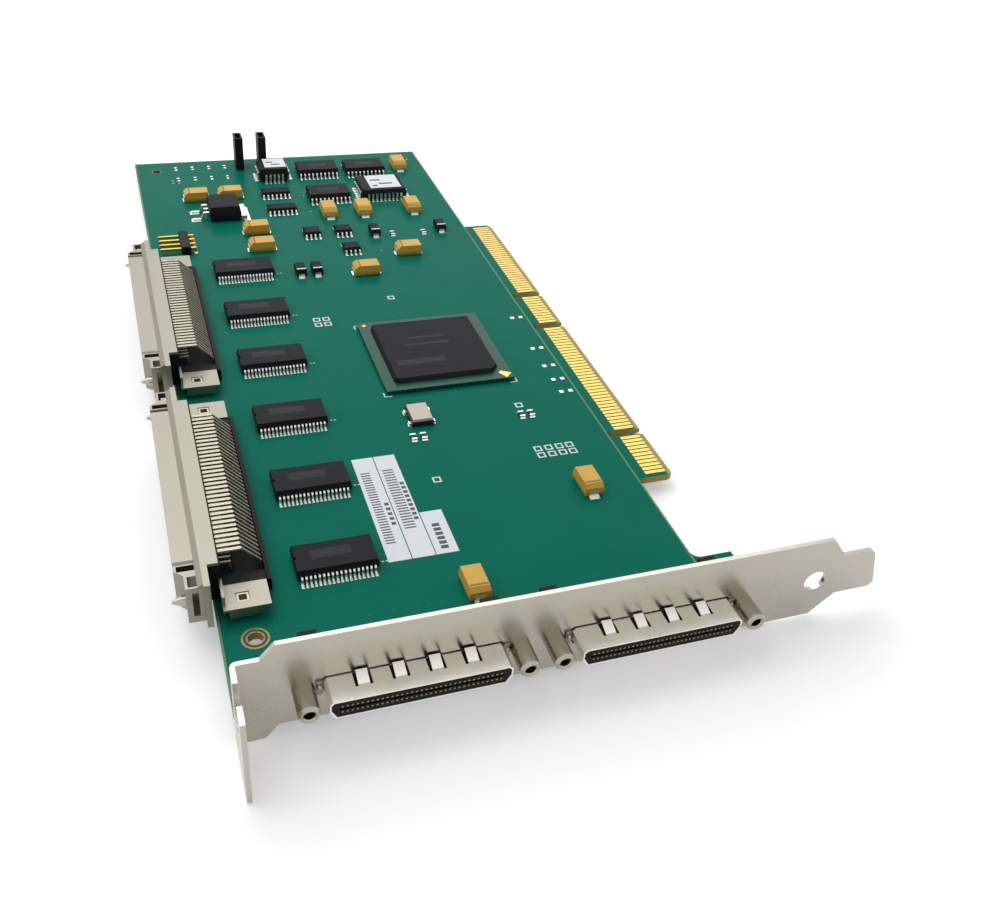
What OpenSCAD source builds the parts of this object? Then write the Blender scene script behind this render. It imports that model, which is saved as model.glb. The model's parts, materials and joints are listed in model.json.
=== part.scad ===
// Controller card for a 64-bit parallel expansion slot: circuit board, mounting bracket,
// two external and two internal 68-way sockets, and the chips between them.
// Places on the board are counted from its top edge (x), from contact 1 of the edge
// fingers (y) and from the component side (z). The model's own origin is at the slot:
// the key notch's centre, on the finger edge, half way through the board.

/* [Board] */
// Height of the board, from its top edge to the finger edge
board_h = 98.43; // [96:0.01:107]
// Length of the board, from the bracket to the far edge
board_l = 223.7; // [215:0.1:240]
// Thickness of the board
board_t = 1.57; // [1.2:0.01:2.4]
// Distance from the bracket's end of the board to contact 1
contact_1 = 42; // [41:0.1:46]
// How far the finger strip stands out
strip_h = 8.25; // [7.8:0.05:9]
// Length of board that stands out beside the bracket
tail_l = 15; // [12:0.1:18]
// Radius of the strip's corners
corner_r = 1.2; // [0.5:0.1:2]
// Radius of the plated hole near the bracket
front_hole_r = 1.4; // [1:0.05:2]
// Radius of the plated hole at the far corner
rear_hole_r = 1.2; // [0.8:0.05:2]

/* [Edge fingers] */
// Pitch of the fingers
finger_pitch = 1.27; // [1.2:0.01:1.3]
// Width of one finger
finger_w = 0.9; // [0.6:0.05:1]
// Length of one finger
finger_l = 4.7; // [4:0.1:6]
// Thickness of the plating
finger_t = 0.05; // [0.03:0.01:0.1]
// Width of a key slot
key_w = 1.91; // [1.6:0.01:2.2]
// Length of the bevel on the finger edge
bevel_l = 1.3; // [0.8:0.1:1.8]
// Depth of the bevel on each side
bevel_d = 0.4; // [0.2:0.05:0.5]

/* [Bracket] */
// Length of the bracket over the tab and the tongue
bracket_l = 120.02; // [112:0.02:128]
// Width of the bracket
bracket_w = 18.42; // [17:0.02:20]
// Thickness of the bracket's sheet
sheet_t = 0.86; // [0.6:0.02:1.2]
// Length of the folded tab
tab_l = 11.43; // [10:0.01:14]
// Width of the tongue
tongue_w = 9.6; // [8:0.1:10.2]
// Length of the tongue
tongue_l = 8.4; // [8:0.1:12]
// Length of the wide part's slanted corner
slant_l = 4.6; // [3:0.1:6]
// Sideways step of the bracket next to the tab
jog = 2.9; // [0:0.1:4]
// Width of the screw slot in the tab
screw_slot_w = 4.42; // [3.6:0.02:5]
// Radius of the hole in the tongue
tongue_hole_r = 2.25; // [1.5:0.05:2.6]
// Gap between the bracket and the board's edge
bracket_gap = 0.34; // [0.2:0.02:0.6]
// Height of the bracket's middle over the component side
bracket_z = 5.8; // [5:0.1:7]

/* [External sockets] */
// Place of the first socket, from the board's top edge
ext_1 = 29.4; // [28:0.1:31]
// Place of the second socket, from the board's top edge
ext_2 = 72.4; // [72:0.1:76]
// Room in the shell beyond the last contact
ext_end = 2; // [1.5:0.1:2.3]
// Height of the socket's shell
ext_h = 3.8; // [3.6:0.1:4.6]
// How far the shell stands out of the bracket
ext_out = 5.5; // [4.5:0.1:6.5]
// Height of the socket's middle over the component side
ext_z = 3.7; // [3.4:0.1:4]
// Distance between a socket's two jackscrews
jack_gap = 36.8; // [36:0.1:38]
// Diameter of a jackscrew's barrel
jack_d = 3.7; // [3.4:0.1:4.4]
// Pitch of the contacts in one row
ext_pitch = 0.8; // [0.76:0.01:0.82]

/* [Internal sockets] */
// Place of the near socket's middle
int_1 = 9.4; // [8:0.1:11]
// Gap between the feet of the two sockets
int_gap = 6.5; // [5.5:0.1:9]
// Room in the shell beyond the last lead
int_end = 2.845; // [2.2:0.005:3.2]
// Height of the socket's shell
int_h = 8; // [7.4:0.1:8.6]
// How far the shell stands out past the board's edge
int_out = 6; // [5.5:0.1:8]
// Pitch of the leads in one row
int_pitch = 1.27; // [1.2:0.01:1.28]
// Distance of a foot's hole from the end of the contact housing
foot_hole_in = 3.5; // [3.2:0.1:4.5]

/* [Chips] */
// Side of the controller's substrate
ctrl_side = 31; // [29:0.5:35]
// Side of the controller's moulding at its foot
ctrl_top_side = 26; // [24:0.5:28]
// Length of a line terminator's body
term_l = 15.4; // [15:0.1:16]
// Width of a line terminator's body
term_w = 7.5; // [7:0.1:8]
// Height of a line terminator
term_h = 2.5; // [2:0.1:2.8]
// Length of a solid capacitor
cap_l = 7.3; // [7:0.1:7.6]
// Width of a solid capacitor
cap_w = 4.3; // [4:0.1:4.6]
// Height of a solid capacitor
cap_h = 2.9; // [2.5:0.1:3.4]
// Height of a jumper cap over the board
jumper_h = 10.2; // [9.4:0.1:13]

/* [Hidden] */
$fn = 48;
tiny = 0.01;

// board
front_y = -contact_1;
rear_y = front_y + board_l;
strip_y0 = -1.6;
strip_y1 = finger_y(94) + 1.65;
notch_x = board_h - strip_h;
front_hole = [5.8, -27];
rear_hole = [6.1, rear_y - 6.9];
index_hole = [board_h - 12.6, rear_y - 6.2];
index_hole_r = 0.7;
tail_fillet_r = 2;

// fingers: 94 places a side, two of them lost at each key inside a block
key_33 = (finger_y(12) + finger_y(13)) / 2;
key_5 = (finger_y(50) + finger_y(51)) / 2;
key_64 = (finger_y(62) + finger_y(63)) / 2;
function finger_y(n) = (n - 1) * finger_pitch + (n > 62 ? 2 * finger_pitch : 0);
function is_key(n) = n == 12 || n == 13 || n == 50 || n == 51;

// bracket
plate_back = front_y - bracket_gap;
plate_front = plate_back - sheet_t;
tab_x = 0;
bend_r = 1.2;
tongue_x = tab_x + bracket_l;
wide_x = tongue_x - tongue_l - slant_l;
jog_x0 = 4.6;
jog_x1 = 7;
bracket_z0 = bracket_z - bracket_w / 2;
bracket_z1 = bracket_z + bracket_w / 2;
tongue_hole_in = 14;
tongue_hole_x = tongue_x - tongue_hole_in;
tongue_hole_z = bracket_z - 0.5;
tongue_skew = 2;
tongue_cut = 1;
// the upper shoulder leans the other way at its ends by this much
slant_skew = 0.6;
screw_slot_depth = 5.2;
screw_slot_out = 5.6;
relief_z = 2.2;
relief_w = 2.4;

// external sockets
lead_n = 34;
ext_places = [ext_1, ext_2];
ext_w = (lead_n - 1) * ext_pitch + 2 * ext_end;
ext_wall = 0.25;
ext_front = plate_front - ext_out;
ext_face = ext_front + 0.12;
tip_l = 0.1;
ext_clear = 0.25;
ext_cut = 0.9;
flange_t = 0.4;
flange_back = plate_back + flange_t;
housing_front = flange_back;
housing_back = plate_back + 5.9;
housing_top = 6.1;
arm_w = 3.2;
arm_back = plate_back + 9.3;
groove_h = 0.4;
groove_l = 3.4;
seat_gap = 0.05;
ext_flange_w = jack_gap + 3.8;
ext_flange_h = 4.8;
stud_r = 1.1;
stud_clear = 0.15;
stud_end = plate_back + 3.2;
jack_hole_r = 0.9;
jack_hole_l = 4.2;
spring_pitch = 6.1;
spring_w = 1.9;
spring_rise = 0.75;
spring_l = 2.75;
spring_root = 0.3;
window_l = 3.1;
window_rim = 0.2;
slit_w = 0.5;
ext_rows = [0.6, -0.6];
pin_t = 0.3;
tail_near = 0.8;
tail_far = 2.2;
tail_stagger = 0.7;
tail_high = 1.2;
tail_low = -0.9;
tail_out = 1.1;
tail_end = -board_t - tail_out;

// internal sockets
int_l = (lead_n - 1) * int_pitch + 2 * int_end;
int_z0 = 0;
int_z1 = int_z0 + int_h;
int_wall = 0.5;
flange_x0 = -1.5;
flange_x1 = -0.4;
lip_x = 1.5;
lip_t = 0.6;
wall_x = 1.8;
rear_x = 10.5;
block_end = int_l / 2 + 6.3;
int_flange_half = block_end + 0.6;
lead_w = 0.7;
lead_t = 0.3;
upper_z = int_z1 - 0.8;
upper_bend = 5.9;
upper_drop = 9.3;
upper_low = 3.5;
lower_z = 4.4;
lower_drop = 3.9;
tail_w = 0.4;
housing_half = int_l / 2 + 1.6;
lead_hole_r = 0.36;
foot_t = 0.5;
foot_z = 2.5;
foot_x0 = 1.3;
foot_x1 = 9.5;
foot_x = 4.9;
foot_hole = housing_half + foot_hole_in;
foot_end = foot_hole + 2.8;
int_2 = int_1 + 2 * foot_end + int_gap;
int_places = [int_1, int_2];
lock_r = 1.1;
lock_side = 2.1;
ear_in = 1.5;
guide_r = 1;
guide_l = 2.4;
guide_z = 3.4;
latch_z = 3.2;
end_block_h = 3;
floor_h = 1.2;
floor_gap = 0.55;
comb_h = 2.6;
comb_x = upper_drop + 0.4;
end_block_in = 2.8;
mouth_hole_r = 0.38;

// Places of the components are counted on a board of the size [ref_x, ref_y],
// and move with the board's own height and length.
ref_x = 98.43;
ref_y = 181.7;
function px(x) = x * board_h / ref_x;
function py(y) = y * rear_y / ref_y;

// controller
ctrl_at = [61.2, 55.5];
ball_h = 0.5;
ctrl_sub_t = 0.56;
ctrl_mould_h = 1.15;
ball_pitch = 1.27;
ball_n = 24;
ball_r = 0.38;
ball_rings = 2;
ctrl_corner = 1.4;

// chips with gull-wing leads: place, body length, body width, height, leads a side, pitch
term_places = [[22.7, 104.6], [22.7, 81.7], [22.7, 58.8], [22.7, 35.1], [22.7, 11.8], [22.7, -11.6]];
term_n = 18;
term_pitch = 0.8;
so_wide = [12.8, 7.5, 2.5, 10];
so_long = [8.65, 3.9, 1.6, 7];
so_short = [4.9, 3.9, 1.6, 4];
so_pitch = 1.27;
so_wide_places = [[54.8, 168.3], [69.9, 168], [54.7, 149.4]];
so_long_places = [[39.2, 153.1], [39.2, 141.5]];
so_short_places = [[44.8, 124.5], [53.8, 124.5], [53.8, 113.1]];
lead_sheet = 0.18;
stand_off = 0.12;
dimple_r = 0.5;
dimple_h = 0.12;
notch_r = 0.6;
notch_h = 0.5;
gull_w = 0.42;
gull_fine_w = 0.36;
gull_reach = 1.4;
gull_short_reach = 1.05;

// chips with leads folded under: place, body x, body y, height, leads along x, leads along y
plcc_big = [[71.4, 150.4], 13.97, 11.43, 3.3, 9, 7];
plcc_small = [[40.5, 166.8], 8.97, 8.97, 4.2, 5, 5];
plcc_z = 0.5;
plcc_split = 0.55;
j_t = 0.25;
label_t = 0.1;

// regulator
reg_at = [22.3, 141];
reg_body = [8.9, 9.6, 4.5];
reg_tab_t = 1.27;
reg_pitch = 2.54;
reg_z = 0.1;
reg_split = 2;
reg_lead_t = 0.5;
reg_lead_w = 0.8;
reg_reach = 4.6;

// solid capacitors: along x, then along y
caps_x = [[15.7, 152.9], [25.7, 153.2], [29.7, 128.4], [29.6, 117.6], [69.2, 109.1], [54.8, 99.3]];
caps_y = [[78.4, -1.4], [46, -24.5], [52.3, 137.2], [62.7, 137], [77.8, 136.8], [81.8, 169.2]];
strap_t = 0.15;
strap_w = 2.4;
strap_h = 1.25;
strap_foot = 1.3;

// diodes
diodes = [[62.6, 122.2], [82.4, 122.4], [37.3, 101.6], [41.7, 101.6]];
diode_size = [2.8, 4.6, 2.2];
diode_strap_w = 1.6;
diode_strap_h = 1.05;

// oscillator
osc_at = [50.5, 30];
osc_size = [5, 6.6];
osc_base_h = 1.3;
osc_lid_h = 0.5;

// right-angle header and jumpers
pin_pitch = 2.54;
pin_w = 0.64;
header_at = [9.3, int_2 + foot_end + 11];
header_n = 4;
header_z = 1.4;
header_tip = 6.8;
header_w = 2.5;
header_h = 2.5;
waist = 0.7;
jumper_y = py(plcc_small[0].y) + 8.9;
jumpers = [[px(31.5), jumper_y], [px(38.6), jumper_y]];
jumper_base_h = 2.5;
pin_hole_r = 0.52;

// chip resistors, all along y
resistors = [[47.3, 22.8], [49.6, 22.8], [73.5, 26], [75.8, 26], [67.7, 121], [76.9, 120.6]];
res_size = [1.25, 2, 0.55];
res_end = 0.4;

// labels in a row: low corner of the first, step, width and lengths
label_at = [32.4, -14.2];
label_step = 4.7;
label_w = 4.5;
label_l = [32.2, 32.2, 12.6];

// puts what is placed from the board's corner into the model's own frame
module on_card() {
    translate([-board_h, -key_5, board_t / 2]) children();
}

// box from one corner to the other
module span(a, b) {
    translate(a) cube(b - a);
}

// profile drawn in x and z, stretched along y from y0 to y1
module along_y(y0, y1) {
    translate([0, y1, 0]) rotate([90, 0, 0]) linear_extrude(y1 - y0) children();
}

// profile drawn in y and z, stretched along x from x0 to x1
module along_x(x0, x1) {
    translate([x0, 0, 0]) rotate([90, 0, 90]) linear_extrude(x1 - x0) children();
}

// outline drawn in x and y, stretched along z from z0 to z1
module along_z(z0, z1) {
    translate([0, 0, z0]) linear_extrude(z1 - z0) children();
}

// outline of a moulding: full width l over the band from z0 to z1, drawn in by s at top and foot
module moulded_outline(l, h, s, z0, z1) {
    polygon([[-l / 2 + s, 0], [l / 2 - s, 0], [l / 2, z0], [l / 2, z1], [l / 2 - s, h],
             [-l / 2 + s, h], [-l / 2, z1], [-l / 2, z0]]);
}

// block with such sides all round
module moulded(l, w, h, s, z0, z1) {
    intersection() {
        along_y(-w, w) moulded_outline(l, h, s, z0, z1);
        along_x(-l, l) moulded_outline(w, h, s, z0, z1);
    }
}

// block that only narrows towards the top
module tapered(l, w, h, s) {
    intersection() {
        along_y(-w, w) polygon([[-l / 2, 0], [l / 2, 0], [l / 2 - s, h], [-l / 2 + s, h]]);
        along_x(-l, l) polygon([[-w / 2, 0], [w / 2, 0], [w / 2 - s, h], [-w / 2 + s, h]]);
    }
}

// rectangle with two rounded corners on its far side in x
module round_end(x0, x1, y0, y1, r) {
    translate([x0, y0]) square([x1 - x0 - r, y1 - y0]);
    translate([x0, y0 + r]) square([x1 - x0, y1 - y0 - 2 * r]);
    translate([x1 - r, y0 + r]) circle(r);
    translate([x1 - r, y1 - r]) circle(r);
}

// Circuit board
module board_outline() {
    translate([0, front_y]) square([notch_x, board_l]);
    translate([notch_x - tiny, front_y]) square([strip_h + tiny, tail_l]);
    translate([notch_x - tiny, front_y + tail_l - tiny]) difference() {
        square(tail_fillet_r);
        translate([tail_fillet_r, tail_fillet_r]) circle(tail_fillet_r);
    }
    round_end(notch_x - tiny, board_h, strip_y0, strip_y1, corner_r);
}

module key_slot(y) {
    r = key_w / 2;
    translate([board_h - strip_h + r, y, -board_t - 1]) cylinder(r = r, h = board_t + 2);
    span([board_h - strip_h + r, y - r, -board_t - 1], [board_h + 1, y + r, 1]);
}

module pin_holes() {
    depth = board_t + 2;
    translate([front_hole.x, front_hole.y, -board_t - 1]) cylinder(r = front_hole_r, h = depth);
    translate([rear_hole.x, rear_hole.y, -board_t - 1]) cylinder(r = rear_hole_r, h = depth);
    translate([index_hole.x, index_hole.y, -board_t - 1]) cylinder(r = index_hole_r, h = depth);
    for (m = int_places, x = [upper_drop, lower_drop], i = [0 : lead_n - 1])
        translate([x, lead_y(m, i), -board_t - 1]) cylinder(r = lead_hole_r, h = depth, $fn = 16);
    for (m = int_places, s = [-1, 1])
        translate([foot_x, m + s * foot_hole, -board_t - 1]) cylinder(r = lock_r + 0.1, h = depth);
    for (c = ext_places, r = [0, 1], i = [0 : lead_n - 1])
        translate([tail_x(c, i), tail_y(r, i), -board_t - 1]) cylinder(r = pin_t * 0.85, h = depth, $fn = 16);
    for (i = [0 : header_n - 1])
        translate([header_bend_x(), header_y(i), -board_t - 1]) cylinder(r = pin_hole_r, h = depth, $fn = 24);
    for (j = jumpers, s = [-1, 1])
        translate([j.x, j.y + s * pin_pitch / 2, -board_t - 1]) cylinder(r = pin_hole_r, h = depth, $fn = 24);
}

module circuit_board() {
    bevel_x = board_h - bevel_l;
    color("#14705f") on_card() difference() {
        translate([0, 0, -board_t]) linear_extrude(board_t) board_outline();
        along_y(strip_y0 - 1, strip_y1 + 1) {
            polygon([[bevel_x, tiny], [board_h + tiny, tiny], [board_h + tiny, -bevel_d]]);
            polygon([[bevel_x, -board_t - tiny], [board_h + tiny, -board_t - tiny],
                     [board_h + tiny, -board_t + bevel_d]]);
        }
        for (y = [key_33, key_5, key_64]) key_slot(y);
        pin_holes();
    }
}

// Plated fingers on both sides of the strip
module edge_fingers() {
    x1 = board_h - bevel_l - 0.05;
    color("#c9a24a") on_card()
        for (n = [1 : 94], z = [0, -board_t - finger_t])
            if (!is_key(n))
                span([x1 - finger_l, finger_y(n) - finger_w / 2, z],
                     [x1, finger_y(n) + finger_w / 2, z + finger_t]);
}

// Mounting bracket, folded from one sheet
module bracket_plate() {
    tz0 = bracket_z - tongue_w / 2;
    tz1 = bracket_z + tongue_w / 2;
    polygon([
        [tab_x + bend_r, bracket_z0 - jog], [jog_x0, bracket_z0 - jog], [jog_x1, bracket_z0],
        [wide_x, bracket_z0], [wide_x + slant_l, tz0], [tongue_x - tongue_cut, tz0],
        [tongue_x, tz0 + tongue_cut], [tongue_x - tongue_skew, tz1 - tongue_cut],
        [tongue_x - tongue_skew - tongue_cut, tz1], [wide_x + slant_l - slant_skew, tz1], [wide_x + slant_skew, bracket_z1],
        [jog_x1, bracket_z1], [jog_x0, bracket_z1 - jog], [tab_x + bend_r, bracket_z1 - jog]
    ]);
}

// outline of a socket's shell, grown by g on every side
module shell_outline(g) {
    w = ext_w / 2 + g;
    h = ext_h / 2 + g;
    polygon([[-w + ext_cut, -h], [w - ext_cut, -h], [w, -h + 1.8 * ext_cut], [w, h - 0.5],
             [w - 0.5, h], [-w + 0.5, h], [-w, h - 0.5], [-w, -h + 1.8 * ext_cut]]);
}

module bracket() {
    z0 = bracket_z0 - jog;
    z1 = bracket_z1 - jog;
    tab_end = plate_front - tab_l;
    slot_z = z1 - screw_slot_depth;
    slot_y = plate_front - screw_slot_out;
    color("#b5b3a6") on_card() difference() {
        union() {
            along_y(plate_front, plate_back) bracket_plate();
            // the fold, turned about its inner edge
            translate([tab_x + bend_r, plate_back - bend_r, z0]) linear_extrude(z1 - z0) intersection() {
                difference() {
                    circle(bend_r);
                    circle(bend_r - sheet_t);
                }
                translate([-bend_r, 0]) square(bend_r);
            }
            span([tab_x, tab_end, z0], [tab_x + sheet_t, plate_back - bend_r, z1]);
        }
        for (c = ext_places) {
            along_y(plate_front - 1, plate_back + 1) translate([c, ext_z]) shell_outline(ext_clear);
            for (s = [-1, 1])
                translate([c + s * jack_gap / 2, plate_back + 1, ext_z]) rotate([90, 0, 0])
                    cylinder(r = stud_r + stud_clear, h = sheet_t + 2);
        }
        translate([tongue_hole_x, plate_back + 1, tongue_hole_z]) rotate([90, 0, 0])
            cylinder(r = tongue_hole_r, h = sheet_t + 2);
        // screw slot, open to the component side
        translate([tab_x - 1, slot_y, slot_z]) rotate([0, 90, 0])
            cylinder(r = screw_slot_w / 2, h = sheet_t + 2);
        span([tab_x - 1, slot_y - screw_slot_w / 2, slot_z],
             [tab_x + sheet_t + 1, slot_y + screw_slot_w / 2, z1 + 1]);
        // relief at the fold
        span([tab_x - 1, plate_back - bend_r - 0.7, z0 + relief_z],
             [tab_x + sheet_t + 0.8, plate_back + 1, z0 + relief_z + relief_w]);
    }
}

// External sockets
module at_ext() {
    for (c = ext_places) translate([c, 0, ext_z]) children();
}

module external_shell() {
    difference() {
        union() {
            along_y(ext_front, flange_back) shell_outline(0);
            span([-ext_flange_w / 2, plate_back, -ext_flange_h / 2],
                 [ext_flange_w / 2, flange_back, ext_flange_h / 2]);
        }
        along_y(ext_front - 1, flange_back + 1) shell_outline(-ext_wall);
        // windows round the spring tongues
        for (i = [-1.5 : 1 : 1.5])
            span([i * spring_pitch - spring_w / 2 - slit_w, plate_front - window_l, 0],
                 [i * spring_pitch + spring_w / 2 + slit_w, plate_front - window_rim, ext_h]);
        for (s = [-1, 1])
            translate([s * jack_gap / 2, flange_back + 1, 0]) rotate([90, 0, 0])
                cylinder(r = stud_r + stud_clear, h = flange_t + 2);
    }
    for (i = [-1.5 : 1 : 1.5])
        translate([i * spring_pitch, plate_front - window_l, ext_h / 2]) spring_tongue();
}

// tongue that leaves the front end of its window and rises towards the bracket
module spring_tongue() {
    along_x(-spring_w / 2, spring_w / 2)
        polygon([[-tiny, -ext_wall], [spring_root, -ext_wall], [spring_l, spring_rise - ext_wall],
                 [spring_l, spring_rise], [spring_root, 0], [-tiny, 0]]);
}

module external_shells() {
    color("#bdbaad") on_card() at_ext() external_shell();
}

module external_housing() {
    core = -ext_wall - 0.05;
    w = ext_w / 2 - 0.9;
    top = housing_top - ext_z;
    low = seat_gap - ext_z;
    difference() {
        union() {
            along_y(ext_face, housing_front + 0.5) shell_outline(core);
            span([-ext_flange_w / 2, housing_front, low],
                 [ext_flange_w / 2, stud_end + 0.4, ext_flange_h / 2]);
            span([-w - arm_w, housing_front, low], [w + arm_w, housing_back, top]);
            for (s = [-1, 1])
                translate([s * (w + arm_w / 2) - arm_w / 2, housing_back - 1, low])
                    cube([arm_w, arm_back - housing_back + 1, top - low]);
        }
        // the groove that takes the plug's tongue
        span([-w + 0.6, ext_face - 1, -groove_h / 2], [w - 0.6, ext_face + groove_l, groove_h / 2]);
        for (s = [-1, 1])
            translate([s * jack_gap / 2, stud_end + 0.1, 0]) rotate([90, 0, 0])
                cylinder(r = stud_r + 0.02, h = 10);
    }
}

module external_housings() {
    color("#1c1c1e") on_card() at_ext() external_housing();
}

function tail_x(c, i) = c + (i - (lead_n - 1) / 2) * ext_pitch;
function tail_y(r, i) = housing_back + (r == 0 ? tail_far : tail_near) + (i % 2 == 0 ? tail_stagger : 0);

// what shows of the contacts at the mouth: one tip in each place
module external_contacts() {
    color("#d8c48a") on_card()
        for (c = ext_places, z = ext_rows, i = [0 : lead_n - 1])
            translate([tail_x(c, i) - pin_t / 2, ext_face - tip_l, ext_z + z - pin_t / 2])
                cube([pin_t, tip_l, pin_t]);
}

// the contacts' other ends: out of the housing's back and down through the board
module external_tails() {
    h = pin_t / 2;
    color("#c8c8c4") on_card()
        for (c = ext_places, r = [0, 1], i = [0 : lead_n - 1]) {
            y = tail_y(r, i);
            z = ext_z + (r == 0 ? tail_high : tail_low);
            translate([tail_x(c, i) + h, 0, 0]) rotate([90, 0, -90]) linear_extrude(pin_t)
                polygon([[-housing_back, z - h], [-y + h, z - h], [-y + h, tail_end],
                         [-y - h, tail_end], [-y - h, z + h], [-housing_back, z + h]]);
        }
}

module jackscrew() {
    r = jack_d / 2;
    l = ext_out + 0.2;
    difference() {
        union() {
            rotate([90, 0, 0]) rotate_extrude()
                polygon([[0, 0], [r, 0], [r, l - 0.5], [r - 0.4, l], [0, l]]);
            rotate([-90, 0, 0]) cylinder(r = stud_r, h = stud_end - plate_front);
        }
        translate([0, -l + jack_hole_l, 0]) rotate([90, 0, 0])
            cylinder(r = jack_hole_r, h = jack_hole_l + 1);
        translate([0, -l + 0.3, 0]) rotate([90, 0, 0])
            cylinder(r1 = jack_hole_r, r2 = jack_hole_r + 0.35, h = 0.35);
    }
}

module jackscrews() {
    color("#a9a69b") on_card() at_ext()
        for (s = [-1, 1]) translate([s * jack_gap / 2, plate_front, 0]) jackscrew();
}

// Internal sockets
function lead_y(m, i) = m + (i - (lead_n - 1) / 2) * int_pitch;

module at_int() {
    for (m = int_places) translate([0, m, 0]) children();
}

module mirrored_y() {
    children();
    mirror([0, 1, 0]) children();
}

// outline of the shell in y and z, shrunk by g; its lower corners are cut more than the upper ones
module int_outline(g) {
    w = int_l / 2 - g;
    c = 1.6;
    k = 0.8;
    polygon([[-w + c, int_z0 + g], [w - c, int_z0 + g], [w, int_z0 + g + c], [w, int_z1 - g - k],
             [w - k, int_z1 - g], [-w + k, int_z1 - g], [-w, int_z1 - g - k], [-w, int_z0 + g + c]]);
}

module internal_shell() {
    difference() {
        union() {
            along_x(-int_out, flange_x0 + tiny) int_outline(0);
            span([flange_x0, -int_flange_half, -board_t + 0.3], [flange_x1, int_flange_half, int_z1 + lip_t]);
            span([flange_x0, -housing_half, int_z1], [lip_x, housing_half, int_z1 + lip_t]);
            // slope from the flange down to the shell
            along_y(-block_end, block_end)
                polygon([[flange_x0, int_z1 + lip_t], [flange_x0 - 1, int_z1 + 0.05],
                         [flange_x0, int_z1 + 0.05]]);
        }
        along_x(-int_out - 1, flange_x1 + 1) int_outline(int_wall);
    }
}

module internal_shells() {
    color("#b7b4a6") on_card() at_int() internal_shell();
}

// end piece of the shell, with the window that takes the plug's latch
module internal_latch_block() {
    y0 = int_l / 2 + 0.1;
    ear_x = -int_out + ear_in;
    difference() {
        along_z(int_z0, int_z1) polygon([[-int_out, y0], [-int_out, y0 + 1.4], [ear_x, y0 + 2.8],
                                         [ear_x, block_end], [flange_x0, block_end], [flange_x0, y0]]);
        // slot that takes the plug's latch, open at the top
        span([-int_out + 0.5, y0 + 0.3, int_z0 + latch_z], [flange_x0 - 0.4, y0 + 1.7, int_z1 + 1]);
        // hollow of the ear, open at the top and at its end
        span([ear_x + 0.5, block_end - 3, int_z0 + 0.6], [flange_x0 - 0.4, block_end - 0.4, int_z1 + 1]);
        span([ear_x + 1, block_end - 1, int_z0 + 1.4], [flange_x0 - 0.9, block_end + 1, int_z1 - 1.2]);
    }
}

module internal_latch_blocks() {
    color("#b0ad9f") on_card() at_int() mirrored_y() internal_latch_block();
}

// pointed pins that find the plug
module internal_guide_pins() {
    x0 = -int_out + ear_in;
    color("#bab7aa") on_card() at_int() mirrored_y()
        translate([x0, block_end - 2.2, guide_z]) rotate([0, -90, 0]) rotate_extrude()
            polygon([[0, 0], [guide_r, 0], [guide_r, 0.8], [0.25, guide_l], [0, guide_l]]);
}

// black moulding: the contact block in the shell and the comb behind it
module internal_housing() {
    inner = housing_half - end_block_in;
    low = seat_gap;
    difference() {
        union() {
            along_x(-int_out + 0.6, flange_x1 + 0.5) int_outline(int_wall + 0.05);
            span([flange_x1, -housing_half, low], [wall_x, housing_half, int_z1 - 0.02]);
            // end blocks beside the leads
            mirrored_y() along_y(inner, housing_half)
                polygon([[flange_x1, low], [rear_x, low], [rear_x, comb_h], [upper_bend, end_block_h],
                         [flange_x1, end_block_h]]);
            // floor under the leads, open where the lower row goes down
            along_y(-housing_half, housing_half) {
                translate([flange_x1, low]) square([lower_drop - floor_gap - flange_x1, floor_h - low]);
                translate([lower_drop + floor_gap, low])
                    square([upper_drop - lower_drop - 2 * floor_gap, floor_h - low]);
            }
            // comb behind the leads
            along_y(-housing_half, housing_half)
                polygon([[comb_x, low], [rear_x, low], [rear_x, comb_h], [comb_x, comb_h + 0.5]]);
        }
        for (z = [1.27, -1.27], i = [0 : lead_n - 1])
            translate([-int_out - 1, lead_y(0, i), (int_z0 + int_z1) / 2 + z]) rotate([0, 90, 0])
                cylinder(r = mouth_hole_r, h = 5, $fn = 16);
    }
}

module internal_housings() {
    color("#1b1b1d") on_card() at_int() internal_housing();
}

// upper row: wide and straight back, then narrow down a slope and through the board
module internal_upper_leads() {
    t = lead_t;
    color("#cfcab6") on_card()
        for (m = int_places, i = [0 : lead_n - 1]) {
            along_y(lead_y(m, i) - tail_w / 2, lead_y(m, i) + tail_w / 2) lead_profile(t);
            span([wall_x, lead_y(m, i) - lead_w / 2, upper_z - t / 2],
                 [upper_bend, lead_y(m, i) + lead_w / 2, upper_z + t / 2]);
        }
}

module lead_profile(t) {
    h = t / 2;
    polygon([[wall_x, upper_z - h], [upper_bend, upper_z - h], [upper_drop - h, upper_low],
             [upper_drop - h, tail_end], [upper_drop + h, tail_end], [upper_drop + h, upper_low + h],
             [upper_bend + h, upper_z + h], [wall_x, upper_z + h]]);
}

// lower row: short, under the upper one
module internal_lower_leads() {
    h = lead_t / 2;
    color("#c9c5b4") on_card()
        for (m = int_places, i = [0 : lead_n - 1])
            along_y(lead_y(m, i) - tail_w / 2, lead_y(m, i) + tail_w / 2)
                polygon([[wall_x, lower_z - h], [lower_drop - h, lower_z - h], [lower_drop - h, tail_end],
                         [lower_drop + h, tail_end], [lower_drop + h, lower_z + h], [wall_x, lower_z + h]]);
}

// steel feet that the locks hold down
module internal_foot() {
    y0 = housing_half + 0.02;
    h = lock_side / 2 + 0.15;
    difference() {
        union() {
            span([foot_x0, y0, foot_z], [foot_x1, foot_end, foot_z + foot_t]);
            // turned up against the flange and down at the outer end
            span([foot_x0, y0, foot_z], [foot_x0 + foot_t, foot_end - 1.4, foot_z + 2.4]);
            span([foot_x0 + 1, foot_end - foot_t, 0.9], [foot_x1 - 1, foot_end, foot_z + foot_t]);
        }
        span([foot_x - h, foot_hole - h, foot_z - 1], [foot_x + h, foot_hole + h, foot_z + 2]);
    }
}

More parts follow.
